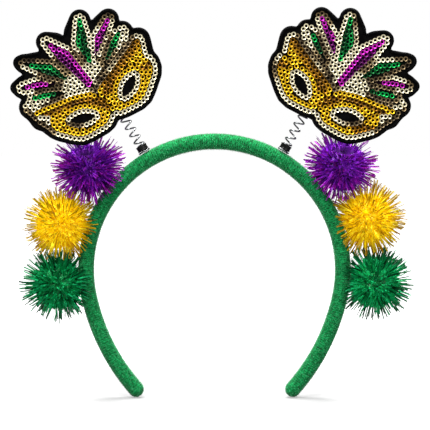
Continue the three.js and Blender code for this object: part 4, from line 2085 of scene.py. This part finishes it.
@dataclass
class TinselPompom:
    """A ball of flat film strips: a thick nap of short ones, and longer ones that stand out of it."""

    side: Side
    tint: Tint
    angle: float
    distance: float
    seed: int
    beside_angle: float = 30.0
    heart_radius: float = 11.3
    heart_cuts: int = 4
    heart_folds: tuple[Folds, ...] = (Folds(0.8, 6.0, 0.3), Folds(0.9, 17.0, 0.5))
    heart_tone: float = 0.4
    heart_out: float = 1.4
    root_radius: float = 9.0
    nap_count: int = 1900
    nap_tip: tuple[float, float] = (12.2, 14.6)
    nap_stray: float = 0.4
    nap_tone: float = 0.62
    fringe_count: int = 680
    fringe_tip: tuple[float, float] = (15.5, 22.4)
    fringe_stray: float = 0.14
    fringe_tone: float = 0.36
    tone_scatter: float = 0.38
    strip_width: float = 0.74
    strip_breadth: tuple[float, float] = (0.65, 1.2)
    strip_film: float = 0.06
    crinkle: float = 1.3
    shortest: float = 2.5
    samples: int = 16
    band_clearance: float = 0.35
    splay_at: float = 0.75
    splay_forward: float = 0.7
    splay: tuple[float, float] = (0.6, 1.4)
    overlap: float = 2.5
    mask_clearance: float = 1.2
    mask_push: float = 1.0
    nod_clearance: float = 5.7
    mask_back: float = -3.15
    press_gap: tuple[float, float] = (0.1, 0.7)
    press_lean: float = 0.15

    def centre(self, band: VelourBand) -> np.ndarray:
        """Middle of the pompom."""
        return np.array(band.on_arch(self.angle, self.distance, self.side))

    def is_beside(self, other: TinselPompom) -> bool:
        """Tell whether another pompom is the next one on the same side."""
        return other.side is self.side and 0.0 < abs(other.angle - self.angle) < self.beside_angle

    def strips(self, draw: np.random.Generator) -> tuple[np.ndarray, np.ndarray, np.ndarray]:
        """Draw the strips.

        Args:
            draw: Source of random numbers.

        Returns:
            Roots from the pompom's middle, unit directions and lengths.
        """
        roots = []
        ways = []
        lengths = []
        for count, tip, stray in (
            (self.nap_count, self.nap_tip, self.nap_stray),
            (self.fringe_count, self.fringe_tip, self.fringe_stray),
        ):
            out = unit(draw.normal(size=(count, 3)))
            way = unit(out + draw.normal(0.0, stray, (count, 3)))
            root = out * self.root_radius
            # The square root puts more tips near the outside. A strip ends on the ball of its tip.
            ends = tip[0] + (tip[1] - tip[0]) * np.sqrt(draw.random(count))
            lean = (root * way).sum(axis=1)
            length = -lean + np.sqrt(lean**2 + ends**2 - self.root_radius**2)
            roots.append(root)
            ways.append(way)
            lengths.append(length)
        return np.vstack(roots), np.vstack(ways), np.concatenate(lengths)

    def swept(self, points: np.ndarray, depth: np.ndarray) -> np.ndarray:
        """Tell which points, by their depth in the mask's outline, lie where it swings past as it nods."""
        return (depth > -self.nod_clearance) & (points[:, 1] < self.mask_back)

    def blocked(self, points: np.ndarray, around: Surroundings) -> np.ndarray:
        """Tell which points a strip can't reach.

        Args:
            points: Points, in millimetres.
            around: What the pompom keeps clear of.

        Returns:
            True for each point that is taken.
        """
        taken = around.band.holds(points, self.band_clearance)
        centre = self.centre(around.band)
        for other in around.others:
            way = other - centre
            far = np.linalg.norm(way)
            # Strips reach a little past the plane half way to the next pompom.
            taken |= (points - centre) @ (way / far) > far / 2 + self.overlap
        if around.mask is not None:
            is_front = points[:, 1] < self.mask_push
            front = points[is_front]
            depth = around.mask.depth(front[:, (0, 2)])
            taken[is_front] |= (depth > -self.mask_clearance) | self.swept(front, depth)
        return taken

    def free_share(self, starts: np.ndarray, ways: np.ndarray, around: Surroundings) -> np.ndarray:
        """Measure how much of each straight line out of the pompom is free.

        Args:
            starts: Where the lines start.
            ways: From the start to the end of each line.
            around: What the pompom keeps clear of.

        Returns:
            Shares from 0 to 1.
        """
        shares = np.linspace(0.0, 1.0, self.samples)
        steps = starts[:, None, :] + ways[:, None, :] * shares[:, None]
        taken = self.blocked(steps.reshape(-1, 3), around).reshape(len(starts), self.samples)
        clear = np.where(taken.any(axis=1), np.argmax(taken, axis=1) - 1, self.samples - 1)
        return np.maximum(clear, 0) / (self.samples - 1)

    def build(self, around: Surroundings, wardrobe: Wardrobe) -> None:
        """Make the heart and the strips.

        Args:
            around: What the pompom keeps clear of.
            wardrobe: Finishes and trees.
        """
        draw = np.random.default_rng(self.seed)
        root, way, length = self.strips(draw)
        centre = self.centre(around.band)
        if around.mask is not None:
            planted = centre + root
            pressed = self.swept(planted, around.mask.depth(planted[:, (0, 2)]))
            root[pressed, 1] = self.mask_back + draw.uniform(*self.press_gap, int(pressed.sum()))
            way[pressed, 1] = draw.uniform(0.0, self.press_lean, int(pressed.sum()))
            way = unit(way)
        probe = centre + root + way * (length * self.splay_at)[:, None]
        stopped = around.band.holds(probe, self.band_clearance)
        forward = np.where(draw.random(len(way)) < self.splay_forward, -1.0, 1.0)
        way[stopped, 1] = (forward * draw.uniform(*self.splay, len(way)))[stopped]
        way = unit(way)
        length = length * self.free_share(centre + root, way * length[:, None], around)
        good = length > self.shortest
        count = int(good.sum())
        mean_tone = np.repeat((self.nap_tone, self.fringe_tone), (self.nap_count, self.fringe_count))
        label = f"{self.side.label}_{self.tint.value}_pompom"
        bed = Seedbed(
            (centre + root)[good],
            numbers={
                "reach": length[good] * MM,
                "breadth": draw.uniform(*self.strip_breadth, count),
                "tone": np.clip(draw.normal(mean_tone[good], self.tone_scatter), 0.0, 1.0),
            },
            vectors={"turn": pointing(way[good])},
        )
        strips = bed.grow(
            f"{label}_strips",
            wardrobe.tinsel_tree,
            wardrobe.strip[self.tint],
            {
                "Strip Width": self.strip_width * MM,
                "Film": self.strip_film * MM,
                "Crinkle": self.crinkle * MM,
                "Seed": self.seed,
            },
        )
        dress(strips, "band", [f"{self.side.label}_pompom_{self.tint.value}"])
        self.build_heart(f"{label}_heart", around, wardrobe)

    def build_heart(self, name: str, around: Surroundings, wardrobe: Wardrobe) -> None:
        """Crumple the dense middle of the pompom.

        Args:
            name: Name of the piece.
            around: What the pompom keeps clear of.
            wardrobe: Finishes and trees.
        """
        centre = self.centre(around.band)
        shell = bmesh.new()
        bmesh.ops.create_icosphere(shell, subdivisions=self.heart_cuts, radius=1.0)
        ways = np.array([v.co.normalized() for v in shell.verts])
        radius = np.full(len(ways), self.heart_radius)
        tones = np.full(len(ways), self.heart_tone)
        # Painted light and shade: the folds' tops are painted paler and their hollows darker.
        for axis, folds in enumerate(self.heart_folds):
            shift = Vector()
            shift[axis] = self.seed
            waves = np.array([noise.noise(Vector(w) * folds.closeness + shift) for w in ways])
            radius += folds.height * waves
            tones += folds.paler * waves
        starts = np.tile(centre, (len(ways), 1))
        share = self.free_share(starts, ways * radius[:, None], around)
        radius *= np.maximum(share, 1 / self.samples)
        for vertex, way, out in zip(shell.verts, ways, radius):
            vertex.co = Vector((centre + way * out) * MM)
        mesh = bpy.data.meshes.new(name)
        shell.to_mesh(mesh)
        shell.free()
        # Low places of the heart get the strips' painted root shade through out.
        past_roots = np.maximum(radius - self.root_radius, self.heart_out)
        mark_points(mesh, {"tone": np.clip(tones, 0.0, 1.0), "out": past_roots * MM})
        mesh.materials.append(wardrobe.strip[self.tint])
        dress(placed(name, mesh), "band")


# Studio


@dataclass(frozen=True)
class SoftLight:
    """A square soft light: where it hangs, the length of its side and its watts."""

    name: str
    place: tuple[float, float, float]
    size: float
    power: float


@dataclass
class Studio:
    """Pale floor, soft lights and the camera."""

    view_width: float = 240.8
    target: tuple[float, float, float] = (0.28, 0.0, -36.75)
    distance: float = 1200.0
    elevation: float = 3.5
    sensor: float = 36.0
    clip_start: float = 10.0
    clip_end: float = 50000.0
    floor_size: float = 8000.0
    floor_drop: float = 0.3
    floor_shades: tuple[Colour, Colour] = (paint(122, 122, 122), paint(124, 124, 124))
    shadow_across: float = 44.0
    shadow_reach: tuple[float, float] = (12.0, 45.0)
    shadow_stretch: float = 6.0
    shadow_glow: float = 0.44
    sky: float = 0.35
    lights: tuple[SoftLight, ...] = (
        SoftLight("key", (-350.0, -900.0, 1150.0), size=700.0, power=32.0),
        SoftLight("fill", (800.0, -1100.0, 250.0), size=900.0, power=7.0),
        SoftLight("top", (0.0, 250.0, 1200.0), size=700.0, power=42.0),
    )

    def build(self, floor_height: float) -> None:
        """Set up the floor, the lights and the camera.

        Args:
            floor_height: Lowest point of the object, in millimetres.
        """
        scene = bpy.context.scene
        scene.view_settings.view_transform = "Standard"
        scene.view_settings.look = "None"
        self.build_floor(floor_height - self.floor_drop)
        self.build_sky()
        for light in self.lights:
            self.build_light(light)
        scene.camera = self.build_camera()

    def build_floor(self, height: float) -> None:
        """Lay the floor. To the camera it glows like white paper, less beside the tips where shade lies.

        Args:
            height: Height of the floor, in millimetres.
        """
        material, sheet, shader = new_material("pale_floor")
        grain = sheet.speckle(object_place(sheet), scale=40.0, detail=2.0)
        seen = sheet.add("ShaderNodeLightPath").outputs["Is Camera Ray"]
        place = sheet.add("ShaderNodeSeparateXYZ", {0: object_place(sheet)}).outputs
        aside = sheet.math("SUBTRACT", sheet.math("ABSOLUTE", place["X"]), self.shadow_across * MM)
        ahead = sheet.math("DIVIDE", place["Y"], self.shadow_stretch)
        squares = (sheet.math("MULTIPLY", way, way) for way in (aside, ahead))
        gap = sheet.math("SQRT", sheet.math("ADD", *squares))
        near, far = (reach * MM for reach in self.shadow_reach)
        clear = sheet.spread(gap, near, far)
        glow = sheet.math("MULTIPLY_ADD", clear, 1.0 - self.shadow_glow, self.shadow_glow)
        sheet.fill(
            shader,
            {
                "Base Color": sheet.blend(grain, *self.floor_shades),
                "Roughness": 0.9,
                "Emission Color": sheet.math("MULTIPLY", seen, glow),
                "Emission Strength": 1.0,
            },
        )
        half = self.floor_size / 2
        ends = ((-half, -half), (half, -half), (half, half), (-half, half))
        mesh = bpy.data.meshes.new("floor")
        mesh.from_pydata([tuple(Vector((x, y, height)) * MM) for x, y in ends], [], [[0, 1, 2, 3]])
        mesh.materials.append(material)
        placed("floor", mesh)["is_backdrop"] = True

    def build_sky(self) -> None:
        """Light the scene softly from all sides, against a white background."""
        world = bpy.data.worlds.new("soft_white")
        world.use_nodes = True
        sheet = NodeSheet(world.node_tree)
        backdrop = world.node_tree.nodes["Background"]
        seen = sheet.add("ShaderNodeLightPath").outputs["Is Camera Ray"]
        strength = sheet.math("MAXIMUM", seen, self.sky)
        sheet.tree.links.new(strength, backdrop.inputs["Strength"])
        backdrop.inputs["Color"].default_value = (1.0, 1.0, 1.0, 1.0)
        bpy.context.scene.world = world

    def build_light(self, light: SoftLight) -> None:
        """Hang a light and aim it at the headband.

        Args:
            light: Light to hang.
        """
        data = bpy.data.lights.new(light.name, "AREA")
        data.size = light.size * MM
        data.energy = light.power
        lamp = bpy.data.objects.new(light.name, data)
        lamp.location = Vector(light.place) * MM
        aim = Vector(self.target) * MM - lamp.location
        lamp.rotation_euler = aim.to_track_quat("-Z", "Y").to_euler()
        bpy.context.scene.collection.objects.link(lamp)

    def build_camera(self) -> bpy.types.Object:
        """Aim the camera as the photograph was taken.

        Returns:
            The camera.
        """
        data = bpy.data.cameras.new("camera")
        data.sensor_width = self.sensor
        data.lens = self.sensor * self.distance / self.view_width
        camera = bpy.data.objects.new("camera", data)
        rise = math.radians(self.elevation)
        back = Vector((0.0, -math.cos(rise), math.sin(rise)))
        camera.location = (Vector(self.target) + back * self.distance) * MM
        camera.rotation_euler = (-back).to_track_quat("-Z", "Y").to_euler()
        data.clip_start = self.clip_start * MM
        data.clip_end = self.clip_end * MM
        bpy.context.scene.collection.objects.link(camera)
        return camera


# Headband


# Painted light: the right purple and green pompoms get higher nap tones and the left green a lower one, so
# the right pompoms are lighter than the left ones, as if lit more from the right.
POMPOMS = (
    TinselPompom(Side.LEFT, Tint.PURPLE, 50.9, 90.6, seed=1),
    TinselPompom(Side.LEFT, Tint.GOLD, 73.4, 89.5, seed=2),
    TinselPompom(Side.LEFT, Tint.GREEN, 95.3, 87.9, seed=3, nap_tone=0.54),
    TinselPompom(Side.RIGHT, Tint.PURPLE, 50.6, 91.6, seed=4, nap_tone=0.95),
    TinselPompom(Side.RIGHT, Tint.GOLD, 71.5, 90.5, seed=5),
    TinselPompom(Side.RIGHT, Tint.GREEN, 94.5, 90.1, seed=6, nap_tone=0.9),
)
POSTS = (
    SprungPost(Side.LEFT, seat_angle=30.6, lean=31.2, wind_from=-83.0),
    SprungPost(Side.RIGHT, seat_angle=30.0, lean=29.6, wind_from=-105.0),
)
MASKS = (
    SequinMask(Side.LEFT, notch_across=52.4, notch_up=17.45),
    SequinMask(Side.RIGHT, notch_across=52.9, notch_up=18.25),
)


def main() -> None:
    """Load the frame and make every piece."""
    logging.basicConfig(format="%(message)s")
    LOG.setLevel(logging.INFO)
    for leftover in list(bpy.data.objects):
        bpy.data.objects.remove(leftover)
    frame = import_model()
    cad_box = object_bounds()
    Studio().build(floor_height=cad_box[0].z / MM)
    wardrobe = Wardrobe()
    band = VelourBand()
    band.build(wardrobe)
    outlines = {}
    for post, mask in zip(POSTS, MASKS):
        post.build(band, wardrobe)
        mask.build(frame, post, band, wardrobe)
        outlines[post.side] = SequinPatch([mask.outline(frame)])
    for pompom in POMPOMS:
        beside = [other.centre(band) for other in POMPOMS if pompom.is_beside(other)]
        near_mask = outlines[pompom.side] if pompom.tint is Tint.PURPLE else None
        pompom.build(Surroundings(band, beside, near_mask), wardrobe)


if __name__ == "__main__":
    main()
